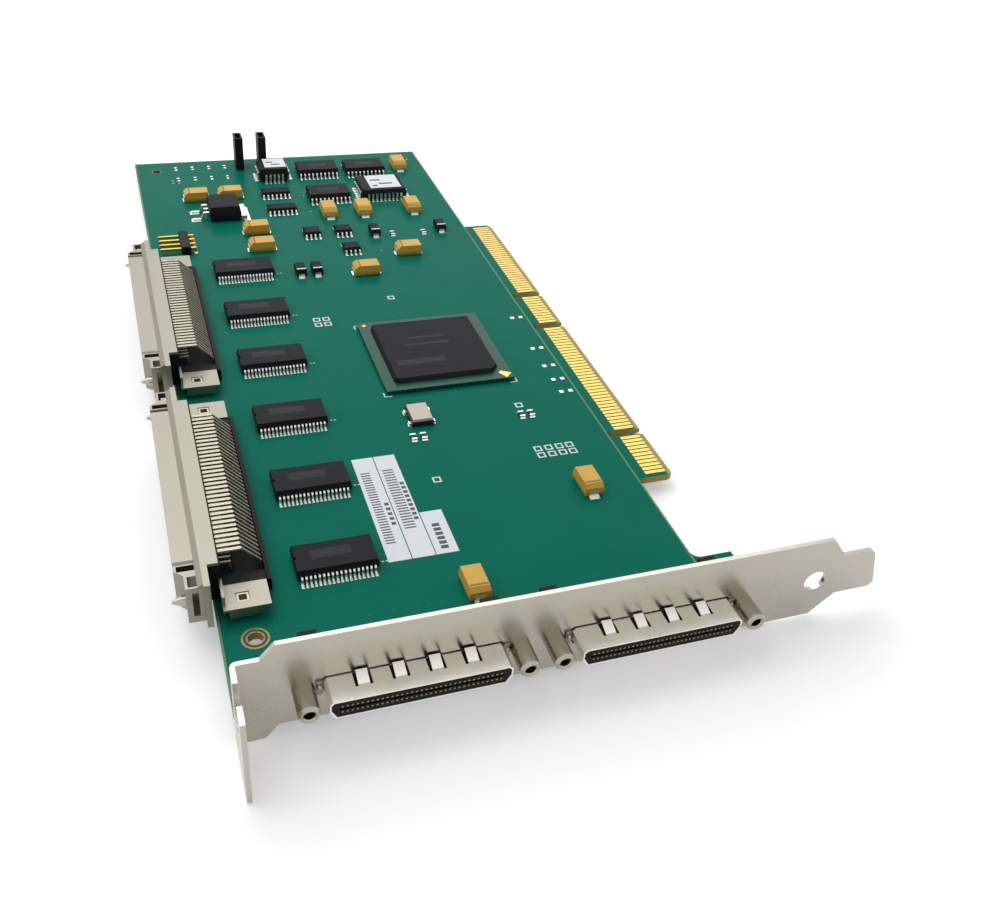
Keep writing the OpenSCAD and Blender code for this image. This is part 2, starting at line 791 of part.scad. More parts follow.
module internal_feet() {
    color("#bcb9ad") on_card() at_int() mirrored_y() internal_foot();
}

// split locks through the feet and the board
module boardlock() {
    s = lock_side / 2;
    difference() {
        union() {
            translate([0, 0, tail_end - 0.6]) cylinder(r = lock_r, h = foot_z - tail_end + 0.6);
            span([-s - 0.7, -s - 0.7, 0], [s + 0.7, s + 0.7, foot_z]);
            span([-s, -s, foot_z - tiny], [s, s, foot_z + foot_t - 0.1]);
        }
        translate([-3, -0.3, tail_end - 1]) cube([6, 0.6, board_t + 1.6]);
        span([-s + 0.35, -s + 0.35, foot_z - 1.2], [s - 0.35, s - 0.35, foot_z + 2]);
    }
}

module boardlocks() {
    color("#8f8c80") on_card() at_int() mirrored_y() translate([foot_x, foot_hole, 0]) boardlock();
}

// Controller: substrate, moulding and the outer rings of solder balls
module at_ctrl() {
    on_card() translate([px(ctrl_at.x), py(ctrl_at.y), 0]) children();
}

module controller_substrate() {
    color("#1f4a3a") at_ctrl()
        translate([-ctrl_side / 2, -ctrl_side / 2, ball_h]) cube([ctrl_side, ctrl_side, ctrl_sub_t]);
}

module controller_moulding() {
    s = ctrl_top_side;
    c = ctrl_corner;
    color("#26262a") at_ctrl() translate([0, 0, ball_h + ctrl_sub_t]) intersection() {
        tapered(s, s, ctrl_mould_h, 0.7);
        // one corner is cut twice as far as the others
        linear_extrude(ctrl_mould_h)
            polygon([[-s / 2, -s / 2 + c], [-s / 2 + c, -s / 2], [s / 2 - 2 * c, -s / 2],
                     [s / 2, -s / 2 + 2 * c], [s / 2, s / 2 - c], [s / 2 - c, s / 2],
                     [-s / 2 + c, s / 2], [-s / 2, s / 2 - c]]);
    }
}

module controller_balls() {
    far = (ball_n - 1) / 2;
    color("#b9bcbf") at_ctrl()
        for (i = [0 : ball_n - 1], j = [0 : ball_n - 1])
            if (min(i, j, ball_n - 1 - i, ball_n - 1 - j) < ball_rings)
                translate([(i - far) * ball_pitch, (j - far) * ball_pitch, 0])
                    cylinder(r = ball_r, h = ball_h, $fn = 10);
}

// Chips with gull-wing leads
module gull_body(l, w, h) {
    b = h - stand_off;
    difference() {
        translate([0, 0, stand_off]) moulded(l, w, b, 0.25, (b - lead_sheet) / 2, (b + lead_sheet) / 2);
        // half-round notch at the end of the first lead
        translate([-l / 2, 0, h - notch_h]) cylinder(r = notch_r, h = 1, $fn = 24);
    }
}

// one side's leads, on the side where y is positive: flat shoulder, slope, drop and foot
module gull_leads(w, h, n, pitch, lead_w, reach) {
    t = lead_sheet;
    y0 = w / 2;
    zm = stand_off + (h - stand_off) / 2;
    for (i = [0 : n - 1])
        translate([(i - (n - 1) / 2) * pitch + lead_w / 2, 0, 0]) rotate([90, 0, -90]) linear_extrude(lead_w)
            polygon([[-y0, zm - t / 2], [-y0 - reach * 0.14, zm - t / 2], [-y0 - reach * 0.34, zm * 0.68],
                     [-y0 - reach * 0.47, 0], [-y0 - reach, 0], [-y0 - reach, t], [-y0 - reach * 0.6, t],
                     [-y0 - reach * 0.46, zm * 0.78], [-y0 - reach * 0.22, zm + t / 2], [-y0, zm + t / 2]]);
}

module at_places(places) {
    for (p = places) translate([px(p.x), py(p.y), 0]) children();
}

module terminator_bodies() {
    color("#2b2b2f") on_card() at_places(term_places) gull_body(term_l, term_w, term_h);
}

module terminator_leads() {
    color("#d2d2ce") on_card() at_places(term_places) mirrored_y()
        gull_leads(term_w, term_h, term_n, term_pitch, gull_fine_w, gull_reach);
}

module so_body(c) {
    gull_body(c[0], c[1], c[2]);
}

module so_leads(c, reach) {
    mirrored_y() gull_leads(c[1], c[2], c[3], so_pitch, gull_w, reach);
}

module logic_chip_bodies() {
    color("#323236") on_card() {
        at_places(so_wide_places) so_body(so_wide);
        at_places(so_long_places) so_body(so_long);
        at_places(so_short_places) so_body(so_short);
    }
}

module logic_chip_leads() {
    color("#d2d2ce") on_card() {
        at_places(so_wide_places) so_leads(so_wide, gull_reach);
        at_places(so_long_places) so_leads(so_long, gull_short_reach);
        at_places(so_short_places) so_leads(so_short, gull_short_reach);
    }
}

// rectangle with its corners cut by k
module cut_corners(l, w, k) {
    polygon([[-l / 2 + k, -w / 2], [l / 2 - k, -w / 2], [l / 2, -w / 2 + k], [l / 2, w / 2 - k],
             [l / 2 - k, w / 2], [-l / 2 + k, w / 2], [-l / 2, w / 2 - k], [-l / 2, -w / 2 + k]]);
}

// Chips with leads folded under their body
module plcc_body(c) {
    h = c[3] - plcc_z;
    zm = h * plcc_split;
    difference() {
        translate([0, 0, plcc_z]) intersection() {
            moulded(c[1], c[2], h, 0.3, zm - j_t / 2, zm + j_t / 2);
            linear_extrude(h) cut_corners(c[1], c[2], 0.8);
        }
        translate([-c[1] / 2 + 1.3, -c[2] / 2 + 1.3, c[3] - dimple_h])
            cylinder(r = dimple_r, h = 1, $fn = 24);
    }
}

// one side's leads, out at the middle of the body and down to the board
module j_leads(w, h, n) {
    t = j_t;
    y0 = w / 2;
    zm = plcc_z + (h - plcc_z) * plcc_split;
    for (i = [0 : n - 1])
        translate([(i - (n - 1) / 2) * so_pitch + 0.3, 0, 0]) rotate([90, 0, -90]) linear_extrude(0.6)
            polygon([[-y0, zm - t / 2], [-y0 - 0.2, zm - t / 2], [-y0 - 0.2, 0.35], [-y0 + 0.1, t],
                     [-y0 + 0.8, t], [-y0 + 0.8, 0], [-y0, 0], [-y0 - 0.45, 0.25], [-y0 - 0.45, zm + t / 2],
                     [-y0, zm + t / 2]]);
}

module plcc_leads(c) {
    mirrored_y() j_leads(c[2], c[3], c[4]);
    rotate([0, 0, 90]) mirrored_y() j_leads(c[1], c[3], c[5]);
}

module memory_chip_bodies() {
    color("#26262a") on_card() {
        at_places([plcc_big[0]]) plcc_body(plcc_big);
        at_places([plcc_small[0]]) plcc_body(plcc_small);
    }
}

module memory_chip_leads() {
    color("#cfcfca") on_card() {
        at_places([plcc_big[0]]) plcc_leads(plcc_big);
        at_places([plcc_small[0]]) plcc_leads(plcc_small);
    }
}

module chip_label(c, w, l) {
    at_places([c[0]]) translate([-w / 2 + 0.7, -l / 2 + 0.5, c[3]]) cube([w, l, label_t]);
}

module chip_labels() {
    color("#e9eaec") on_card() {
        chip_label(plcc_big, 9.6, 9.4);
        chip_label(plcc_small, 6.6, 6.8);
    }
}

// Regulator: moulding, heat tab and leads
module reg_block() {
    translate([px(reg_at.x), py(reg_at.y), 0]) children();
}

module regulator_body() {
    b = reg_body;
    h = reg_lead_t / 2;
    color("#232326") on_card() reg_block() difference() {
        translate([0, 0, reg_z]) moulded(b.x, b.y, b.z - reg_z, 0.35, reg_split - h, reg_split + h);
        span([-b.x / 2 + 1.4, -b.y / 2 + 0.75, -1], [b.x, b.y / 2 - 0.75, reg_tab_t + 0.02]);
    }
}

module regulator_tab() {
    b = reg_body;
    color("#c3c3c0") on_card() reg_block()
        span([-b.x / 2 + 1.45, -b.y / 2 + 0.8, 0.02], [b.x / 2 + 1.7, b.y / 2 - 0.8, reg_tab_t]);
}

module regulator_leads() {
    t = reg_lead_t;
    x0 = -reg_body.x / 2;
    z = reg_z + reg_split;
    w = reg_lead_w / 2;
    color("#cfcfca") on_card() reg_block() {
        for (i = [-1, 1])
            along_y(i * reg_pitch - w, i * reg_pitch + w)
                polygon([[x0, z - t / 2], [x0 - 1.2, z - t / 2], [x0 - 1.9, t], [x0 - 2.1, 0],
                         [x0 - reg_reach, 0], [x0 - reg_reach, t], [x0 - 2.4, t], [x0 - 1.6, z + t / 2],
                         [x0, z + t / 2]]);
        // the middle lead is cut short, because the tab does its work
        span([x0 - 1.3, -w, z - t / 2], [x0, w, z + t / 2]);
    }
}

// Solid capacitors
module at_caps() {
    at_places(caps_x) children();
    at_places(caps_y) rotate([0, 0, 90]) children();
}

module capacitor_body() {
    l = cap_l - 2 * strap_t;
    intersection() {
        translate([0, 0, strap_t]) moulded(l, cap_w, cap_h - strap_t, 0.2, 0.8, 1.1);
        // the bevel that marks one end
        along_y(-cap_w, cap_w) polygon([[-l, 0], [l, 0], [l, cap_h + 1], [-l / 2 + 1, cap_h + 1],
                                        [-l / 2 + 1, cap_h], [-l / 2, cap_h - 0.9], [-l, cap_h - 0.9]]);
    }
}

module capacitor_bodies() {
    color("#c99a3f") on_card() at_caps() capacitor_body();
}

// a strap round each end: up the end face and under the body
module strap(l, w, h, t) {
    x1 = l / 2;
    x0 = x1 - strap_foot;
    along_y(-w / 2, w / 2)
        polygon([[x1, h], [x1, 0], [x0, 0], [x0, t - tiny], [x1 - t, t - tiny], [x1 - t, h]]);
}

module capacitor_straps() {
    color("#d6d4cc") on_card() at_caps() {
        strap(cap_l, strap_w, strap_h, strap_t);
        mirror([1, 0, 0]) strap(cap_l, strap_w, strap_h, strap_t);
    }
}

// Diodes
module diode_bodies() {
    s = diode_size;
    color("#29292c") on_card() at_places(diodes)
        translate([0, 0, strap_t]) moulded(s.x, s.y, s.z - strap_t, 0.15, 0.7, 0.9);
}

module diode_straps() {
    l = diode_size.y + 0.3;
    color("#d6d4cc") on_card() at_places(diodes) rotate([0, 0, 90]) {
        strap(l, diode_strap_w, diode_strap_h, strap_t);
        mirror([1, 0, 0]) strap(l, diode_strap_w, diode_strap_h, strap_t);
    }
}

// Oscillator
module at_osc() {
    on_card() translate([px(osc_at.x), py(osc_at.y), 0]) children();
}

module oscillator_base() {
    color("#2f2d2b") at_osc()
        translate([-osc_size.x / 2, -osc_size.y / 2, 0.1]) cube([osc_size.x, osc_size.y, osc_base_h - 0.1]);
}

module oscillator_lid() {
    color("#a79f97") at_osc() translate([0, 0, osc_base_h])
        tapered(osc_size.x - 0.1, osc_size.y - 0.1, osc_lid_h, 0.2);
}

module oscillator_leads() {
    color("#d6d4cc") at_osc()
        for (s = [-1, 1], y = [-2.2, 2.2])
            translate([s > 0 ? osc_size.x / 2 : -osc_size.x / 2 - 0.5, y - 0.55, 0]) cube([0.5, 1.1, 0.6]);
}

// Right-angle header at the top edge
function header_y(i) = header_at.y + (i - (header_n - 1) / 2) * pin_pitch;
function header_bend_x() = header_at.x + 2.4;

module pin_header_body() {
    h = pin_pitch * header_n;
    color("#1d1d1f") on_card() difference() {
        span([header_at.x - header_w / 2, header_at.y - h / 2, seat_gap],
             [header_at.x + header_w / 2, header_at.y + h / 2, header_h]);
        // waists between the pins and at the ends
        for (i = [0 : header_n], s = [-1, 1])
            translate([header_at.x + s * header_w / 2, header_y(i) - pin_pitch / 2, -1])
                rotate([0, 0, 45]) translate([-waist / 2, -waist / 2, 0]) cube([waist, waist, header_h + 2]);
        for (i = [0 : header_n - 1])
            translate([header_at.x - 2, header_y(i) - pin_w / 2 - 0.01, header_z - pin_w / 2 - 0.01])
                cube([4, pin_w + 0.02, pin_w + 0.02]);
    }
}

module pin_header_pins() {
    w = pin_w / 2;
    x = header_bend_x();
    tip = header_at.x - header_tip;
    color("#d0b264") on_card()
        for (i = [0 : header_n - 1])
            along_y(header_y(i) - w, header_y(i) + w)
                polygon([[tip, header_z - w / 2], [tip + 0.4, header_z - w], [x - w, header_z - w],
                         [x - w, tail_end], [x + w, tail_end], [x + w, header_z + w],
                         [tip + 0.4, header_z + w], [tip, header_z + w / 2]]);
}

// Jumpers: two-pin bases with tall caps
module jumper_pin_cuts(w, z0, z1) {
    for (s = [-1, 1]) span([-w / 2, s * pin_pitch / 2 - w / 2, z0], [w / 2, s * pin_pitch / 2 + w / 2, z1]);
}

module at_jumpers() {
    for (j = jumpers) translate([j.x, j.y, 0]) children();
}

module jumper_bases() {
    color("#1d1d1f") on_card() at_jumpers() difference() {
        span([-1.2, -pin_pitch, 0.05], [1.2, pin_pitch, jumper_base_h]);
        jumper_pin_cuts(pin_w + 0.02, -1, jumper_base_h + 1);
    }
}

module jumper_pins() {
    color("#d0b264") on_card() at_jumpers() jumper_pin_cuts(pin_w, tail_end, 7.6);
}

module jumper_caps() {
    h = 2.45;
    color("#151516") on_card() at_jumpers() difference() {
        span([-h / 2, -h, jumper_base_h], [h / 2, h, jumper_h]);
        jumper_pin_cuts(pin_w + 0.1, 0, 7.8);
        span([-h / 2 + 0.5, -h + 0.6, jumper_h - 1.6], [h / 2 - 0.5, h - 0.6, jumper_h + 1]);
    }
}

// Chip resistors
module chip_resistors() {
    s = res_size;
    color("#202022") on_card() at_places(resistors)
        span([-s.x / 2, -s.y / 2 + res_end, 0.03], [s.x / 2, s.y / 2 - res_end, s.z]);
}

module resistor_ends() {
    s = res_size;
    color("#d9dbd8") on_card() at_places(resistors) mirrored_y()
        span([-s.x / 2, s.y / 2 - res_end, 0], [s.x / 2, s.y / 2, s.z + 0.02]);
}

// Paper labels stuck to the board
module board_labels() {
    color("#eef1f3") on_card()
        for (i = [0 : 2])
            translate([px(label_at.x) + i * label_step, py(label_at.y), 0])
                cube([label_w, label_l[i], label_t]);
}

circuit_board();
edge_fingers();
bracket();
external_shells();
external_housings();
external_contacts();
external_tails();
jackscrews();
internal_shells();
internal_latch_blocks();
internal_guide_pins();
internal_housings();
internal_upper_leads();
internal_lower_leads();
internal_feet();
boardlocks();
controller_substrate();
controller_moulding();
controller_balls();
terminator_bodies();
terminator_leads();
logic_chip_bodies();
logic_chip_leads();
memory_chip_bodies();
memory_chip_leads();
chip_labels();
regulator_body();
regulator_tab();
regulator_leads();
capacitor_bodies();
capacitor_straps();
diode_bodies();
diode_straps();
oscillator_base();
oscillator_lid();
oscillator_leads();
pin_header_body();
pin_header_pins();
jumper_bases();
jumper_pins();
jumper_caps();
chip_resistors();
resistor_ends();
board_labels();
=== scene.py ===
# %% [markdown]
# # A controller card on a white table
# The card comes in as a finished model: every sheet-metal part, chip body and lead already has its
# real shape and size, in metres, in one frame. +X points out of the card's edge fingers, +Y runs
# along the card away from the bracket and +Z out of the component side. What is left for Blender
# is what a camera notices: finishes, solder, print, plated rings and small folded details.

import json
import math

import bpy
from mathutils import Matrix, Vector


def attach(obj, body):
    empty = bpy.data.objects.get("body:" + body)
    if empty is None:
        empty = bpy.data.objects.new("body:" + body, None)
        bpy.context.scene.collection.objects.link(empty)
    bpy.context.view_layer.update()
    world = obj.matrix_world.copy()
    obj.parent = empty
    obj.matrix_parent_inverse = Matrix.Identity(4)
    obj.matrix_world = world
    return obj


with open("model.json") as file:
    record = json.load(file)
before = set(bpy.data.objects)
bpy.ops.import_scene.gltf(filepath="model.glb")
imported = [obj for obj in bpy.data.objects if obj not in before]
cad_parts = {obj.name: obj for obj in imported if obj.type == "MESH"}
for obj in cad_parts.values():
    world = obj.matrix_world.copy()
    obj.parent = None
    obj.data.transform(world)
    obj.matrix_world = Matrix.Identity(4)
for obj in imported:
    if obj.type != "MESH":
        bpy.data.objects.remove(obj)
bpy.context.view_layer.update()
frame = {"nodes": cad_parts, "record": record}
nodes = frame["nodes"]

# %% [markdown]
# Places on a circuit board are read from its own corner, not from the slot. These few numbers are
# the card's own: where that corner lies, how thick the board is and the pitches that repeat.

# %% The board's own corner and units
MM = 0.001
CORNER = Vector((-98.43, -62.865, 0.785))
BOARD_T = 1.57
BOARD_X = (0.0, 90.18)
BOARD_Y = (-42.0, 181.7)


def on_board(x, y, z=0.0):
    """A point in metres, from millimetres counted from the board's corner."""
    return (CORNER + Vector((x, y, z))) * MM


print("board from", on_board(0, BOARD_Y[0]), "to", on_board(BOARD_X[1], BOARD_Y[1]))

# %% [markdown]
# ## Camera
# The view is a real one: a long-ish normal lens, a hand's width above the near corner, looking down
# along the card. The place and the angles come from fitting a pinhole camera to the board's corners,
# the chips and the bracket's own outline.

# %% Camera
camera_data = bpy.data.cameras.new("camera")
camera_data.sensor_width = 36
camera_data.lens = 38.356
camera_data.clip_start = 0.01
camera = bpy.data.objects.new("camera", camera_data)
camera.location = Vector((-105.03, -219.32, 138.58)) * MM
camera.rotation_euler = [math.radians(a) for a in (53.283, -4.78, -18.978)]
bpy.context.scene.collection.objects.link(camera)
bpy.context.scene.camera = camera
print("camera at", camera.location)

# %% [markdown]
# ## Light
# A product picture on white: an even room, a large soft lamp above on the left and a second one behind
# the card, so that the sides that face the camera stay in shade and the shoulders of the leads shine.
# The lamps and the room together light a flat surface at about the level at which a colour shows as it
# is written. What the camera and the bright metal see behind the card
# is white, and that adds nothing to the light on the card.

# %% Node helper, colours and room
def linear(hex_code):
    """Linear RGBA from an sRGB hex colour."""
    parts = [int(hex_code[i : i + 2], 16) / 255 for i in (1, 3, 5)]
    return tuple(c / 12.92 if c <= 0.04045 else ((c + 0.055) / 1.055) ** 2.4 for c in parts) + (1.0,)


def add(tree, kind, links=None, **settings):
    """A node with its settings; links maps an input to a value or to another node's output."""
    made = tree.nodes.new(kind)
    for name, value in settings.items():
        setattr(made, name, value)
    for name, value in (links or {}).items():
        if isinstance(value, bpy.types.NodeSocket):
            tree.links.new(value, made.inputs[name])
        else:
            made.inputs[name].default_value = value
    return made


def work(tree, operation, *values):
    """A number worked out from one to three values, each a number or another node's output."""
    return add(tree, "ShaderNodeMath", dict(enumerate(values)), operation=operation).outputs[0]


def blend(tree, fac, *ends):
    """A colour between two, each a hex colour or another node's output."""
    first, second = [linear(end) if isinstance(end, str) else end for end in ends]
    return add(tree, "ShaderNodeMix", {0: fac, 6: first, 7: second}, data_type="RGBA").outputs[2]


ROOM_LIGHT = 0.38
room = bpy.data.worlds.new("room")
room.use_nodes = True
bpy.context.scene.world = room
sky = room.node_tree
sky.nodes.clear()
path = add(sky, "ShaderNodeLightPath")
direct = work(sky, "MAXIMUM", path.outputs["Is Camera Ray"], path.outputs["Is Transmission Ray"])
seen = work(sky, "MAXIMUM", direct, path.outputs["Is Glossy Ray"])
lit = add(sky, "ShaderNodeBackground", {"Color": linear("#FBFCFF"), "Strength": ROOM_LIGHT})
white = add(sky, "ShaderNodeBackground", {"Color": (1, 1, 1, 1), "Strength": 1.0})
both = add(sky, "ShaderNodeMixShader", {0: seen, 1: lit.outputs[0], 2: white.outputs[0]})
add(sky, "ShaderNodeOutputWorld", {"Surface": both.outputs[0]})

LAMPS = {  # place and aim in mm from the board's corner, size in m, power in W
    "window_lamp": ((-220, 260, 620), (50, 60, 0), 0.6, 2.4),
    "back_lamp": ((200, 480, 460), (50, 60, 0), 0.6, 1.35),
}
for name, (place, aim, size, power) in LAMPS.items():
    lamp = bpy.data.lights.new(name, "AREA")
    lamp.size = size
    lamp.energy = power
    lamp_object = bpy.data.objects.new(name, lamp)
    lamp_object.location = on_board(*place)
    lamp_object.rotation_euler = (on_board(*aim) - on_board(*place)).to_track_quat("-Z", "Y").to_euler()
    bpy.context.scene.collection.objects.link(lamp_object)
bpy.context.scene.view_settings.view_transform = "Standard"
print("lamps:", ", ".join(LAMPS))

# %% [markdown]
# ## Table
# The card doesn't lie quite flat: it stands on the bracket's lower corner, on the far pin tails and
# on the board's far right corner. The table is a plane through those three points, so the contact
# shadows are where a real card has them. It shows white to the camera and still takes the shadow.

# %% Table under the card's three resting points
PLATE_FRONT = -43.2
BRACKET_FOOT, FAR_TAIL = (4.6, PLATE_FRONT, -6.31), (38.6, 177.0, -2.67)
REST = [Vector(place) for place in (BRACKET_FOOT, FAR_TAIL, (BOARD_X[1], BOARD_Y[1], -BOARD_T))]
up = (REST[1] - REST[0]).cross(REST[2] - REST[0]).normalized()
up = up if up.z > 0 else -up
bpy.ops.object.select_all(action="DESELECT")
bpy.ops.mesh.primitive_plane_add(size=6.0, location=on_board(*REST[0]))
table = bpy.context.object
table.name = "table"
table.rotation_euler = up.to_track_quat("Z", "Y").to_euler()
paint = bpy.data.materials.new("table_white_laminate")
paint.use_nodes = True
tree = paint.node_tree
tree.nodes.clear()
path = add(tree, "ShaderNodeLightPath")
matt = add(tree, "ShaderNodeBsdfDiffuse", {"Color": linear("#F4F4F5")})
lift = add(tree, "ShaderNodeEmission", {"Color": (1, 1, 1, 1), "Strength": 0.34})
over = add(tree, "ShaderNodeAddShader", {0: matt.outputs[0], 1: lift.outputs[0]})
eye = work(tree, "MAXIMUM", path.outputs["Is Camera Ray"], path.outputs["Is Glossy Ray"])
mixed = add(tree, "ShaderNodeMixShader", {0: eye, 1: matt.outputs[0], 2: over.outputs[0]})
add(tree, "ShaderNodeOutputMaterial", {"Surface": mixed.outputs[0]})
table.data.materials.append(paint)
print("table leans", round(math.degrees(up.angle(Vector((0, 0, 1)))), 2), "degrees under the card")

# %% [markdown]
# ## Finishes
# Every finish starts the same way: one Principled shader, and object coordinates in metres. The
# helper below makes that start; each finish then adds only what is its own. Patterns are scaled from
# real sizes in millimetres, so `per_mm(0.5)` is the scale at which a texture repeats each half
# millimetre.

# %% A start for each finish
def per_mm(size):
    return 1000.0 / size


def finish(name, colour, rough, metal=0.0, **sockets):
    """A new material with one Principled shader; gives the material, its tree, shader and coordinates."""
    made = bpy.data.materials.new(name)
    made.use_nodes = True
    tree = made.node_tree
    tree.nodes.clear()
    shader = add(tree, "ShaderNodeBsdfPrincipled",
                 {"Base Color": linear(colour), "Roughness": rough, "Metallic": metal, **sockets})
    add(tree, "ShaderNodeOutputMaterial", {"Surface": shader.outputs[0]})
    place = add(tree, "ShaderNodeTexCoord").outputs["Object"]
    return made, tree, shader, place


def shine(ior, level):
    """The two sockets that set how strongly a surface that isn't metal reflects."""
    return {"IOR": ior, "Specular IOR Level": level}


def noise(tree, place, size_mm, detail=3.0, rough=0.55, **settings):
    return add(tree, "ShaderNodeTexNoise",
               {"Vector": place, "Scale": per_mm(size_mm), "Detail": detail, "Roughness": rough}, **settings)


def vary(tree, fac, socket, low, high):
    """Links socket to a value that runs from low to high as fac runs from 0.3 to 0.7."""
    span = add(tree, "ShaderNodeMapRange", {"Value": fac, "From Min": 0.3, "From Max": 0.7,
                                            "To Min": low, "To Max": high})
    tree.links.new(span.outputs[0], socket)


def tint(tree, fac, socket, first, second):
    """Links socket to a colour between two hex colours."""
    tree.links.new(blend(tree, fac, first, second), socket)


def relief(tree, shader, height, strength, depth_mm):
    bump = add(tree, "ShaderNodeBump", {"Height": height, "Strength": strength, "Distance": depth_mm * MM})
    tree.links.new(bump.outputs[0], shader.inputs["Normal"])


finishes = {}

# %% [markdown]
# **Nickel plate on steel.** Shells, bracket and screws are stamped or turned steel with a thin bright
# nickel coat. Rolled sheet keeps a faint grain along its length, and handling leaves slightly duller
# patches, so the roughness wanders over centimetres and a fine grain runs along the sheet.

# %% Nickel finishes
def nickel(name, colour, worn, rough, stretch):
    made, tree, shader, place = finish(name, colour, rough, 1.0)
    grain_place = add(tree, "ShaderNodeMapping", {"Vector": place, "Scale": stretch})
    grain = noise(tree, grain_place.outputs[0], 0.35, 2.0)
    clouds = noise(tree, place, 9.0, 4.0, 0.6)
    vary(tree, clouds.outputs[0], shader.inputs["Roughness"], rough - 0.07, rough + 0.09)
    tint(tree, clouds.outputs[0], shader.inputs["Base Color"], colour, worn)
    relief(tree, shader, grain.outputs[0], 0.25, 0.012)
    finishes[name] = made
    return made


nickel("nickel_sheet", "#B6B1A5", "#BEB9AD", 0.26, (0.06, 1.0, 1.0))
nickel("nickel_shell", "#8B887C", "#959286", 0.38, (1.0, 0.08, 1.0))
nickel("nickel_screw", "#A5A094", "#B4B0A4", 0.22, (1.0, 1.0, 1.0))
# the external shells get a much paler copy of the shell nickel: painted sheen standing in for their bright
# reflections
nickel("shell_nickel_painted_sheen", "#E6E4DC", "#F4F2EB", 0.3, (0.1, 1.0, 1.0))
print("nickel:", [n for n in finishes])

# %% [markdown]
# ** Tin and gold.** Leads are tin-plated copper alloy: pale, satin and a little mottled where solder
# has wetted them. The edge fingers and header pins are hard gold over nickel, which is duller and
# browner than jewellery. The fingers carry fine scratches along X, the way the card slides. The long
# leads of the internal sockets and the boardlocks get a rougher tin whose darker colour is painted shade,
# and the contacts deep in the external ones lie in shade, painted as a darker gold.

# %% Tin and gold finishes
made, tree, shader, place = finish("tin_plating", "#E4E3DE", 0.3, 1.0)
mottle = noise(tree, place, 0.5, 3.0)
vary(tree, mottle.outputs[0], shader.inputs["Roughness"], 0.22, 0.36)
tint(tree, mottle.outputs[0], shader.inputs["Base Color"], "#D8D7D1", "#EEEDE8")
finishes["tin_plating"] = made

made, tree, shader, place = finish("gold_plating", "#D9B25C", 0.3, 1.0)
slide = add(tree, "ShaderNodeMapping", {"Vector": place, "Scale": (0.05, 1.0, 1.0)})
scratch = noise(tree, slide.outputs[0], 0.12, 2.0)
vary(tree, scratch.outputs[0], shader.inputs["Roughness"], 0.24, 0.4)
relief(tree, shader, scratch.outputs[0], 0.2, 0.01)
finishes["gold_plating"] = made

# a darker copy of the tin for the internal leads and the boardlocks: painted shade
made, tree, shader, place = finish("tin_painted_shade", "#A8A491", 0.42, 1.0)
haze = noise(tree, place, 1.5, 3.0)
vary(tree, haze.outputs[0], shader.inputs["Roughness"], 0.36, 0.5)
tint(tree, haze.outputs[0], shader.inputs["Base Color"], "#9A9684", "#B5B19F")
finishes["tin_painted_shade"] = made

made, tree, shader, place = finish("shaded_gold_plating", "#9C8A5E", 0.35, 1.0)
rub = noise(tree, place, 0.8, 2.0)
tint(tree, rub.outputs[0], shader.inputs["Base Color"], "#86764F", "#AE9B6C")
finishes["shaded_gold_plating"] = made

# %% [markdown]
# **Moulded plastics and epoxy.** Socket housings and pin headers are glass-filled polyester with a
# fine matte skin. Chip bodies are moulded epoxy: dark grey rather than black, with a slight sparkle
# from the filler. The solid capacitors use an ochre epoxy with a satin skin.

# %% Moulded finishes
def moulded(name, dark, light, rough, grain_mm, depth_mm, gloss):
    made, tree, shader, place = finish(name, dark, rough, 0.0, **shine(1.52, gloss))
    grain = noise(tree, place, grain_mm, 4.0, 0.6)
    clouds = noise(tree, place, grain_mm * 18, 2.0)
    tint(tree, clouds.outputs[0], shader.inputs["Base Color"], dark, light)
    vary(tree, grain.outputs[0], shader.inputs["Roughness"], rough - 0.08, rough + 0.1)
    relief(tree, shader, grain.outputs[0], 0.35, depth_mm)
    finishes[name] = made


moulded("black_plastic", "#131315", "#1B1B1E", 0.5, 0.25, 0.02, 0.12)
moulded("chip_epoxy", "#1D1E21", "#252629", 0.55, 0.16, 0.015, 0.08)
moulded("capacitor_epoxy", "#D3A03A", "#E1B450", 0.42, 0.3, 0.015, 0.25)
moulded("ceramic", "#1E1D1C", "#2B2A28", 0.45, 0.2, 0.01, 0.25)
print(len(finishes), "finishes so far")

# %% [markdown]
# **The controller's substrate** is a small green laminate of its own, glossier and darker than the
# board. **The oscillator's lid** is a seam-welded nickel-iron plate, a little pink beside the nickel.

# %% Substrate and lid
made, tree, shader, place = finish("chip_substrate", "#14513F", 0.3, 0.0, **shine(1.5, 0.2))
fine = noise(tree, place, 0.6, 3.0)
tint(tree, fine.outputs[0], shader.inputs["Base Color"], "#0E4534", "#175947")
finishes["chip_substrate"] = made

made, tree, shader, place = finish("lid_metal", "#958C85", 0.42, 1.0)
brush = noise(tree, place, 0.4, 2.0)
vary(tree, brush.outputs[0], shader.inputs["Roughness"], 0.3, 0.46)
finishes["lid_metal"] = made

# %% [markdown]
# **Solder mask over copper.** The board is glass-fibre laminate with etched copper under a glossy
# green lacquer. Where copper runs under the lacquer the green is a little lighter and stands up by a
# few hundredths of a millimetre. Tracks are drawn here by folding the coordinates into repeating
# lanes: each cell of a coarse grid chooses whether its lanes run along X or along Y. The cut edge of the
# board and the bevel at the fingers have no lacquer and show straw-coloured glass fibre.

# %% Solder mask
made, tree, shader, place = finish("solder_mask", "#0E6656", 0.24, 0.0, **shine(1.5, 0.02))
axes = add(tree, "ShaderNodeSeparateXYZ", {0: place}).outputs
LANE_MM = 0.9
TRACK_SHARE = 0.34
PATCH_MM = 7.5
TRACKED = 0.62


def lanes(along):
    """1 on a track, 0 between tracks, for lanes spaced across one axis."""
    cell = work(tree, "MULTIPLY", axes[along], per_mm(LANE_MM))
    return work(tree, "LESS_THAN", work(tree, "FRACT", cell), TRACK_SHARE)


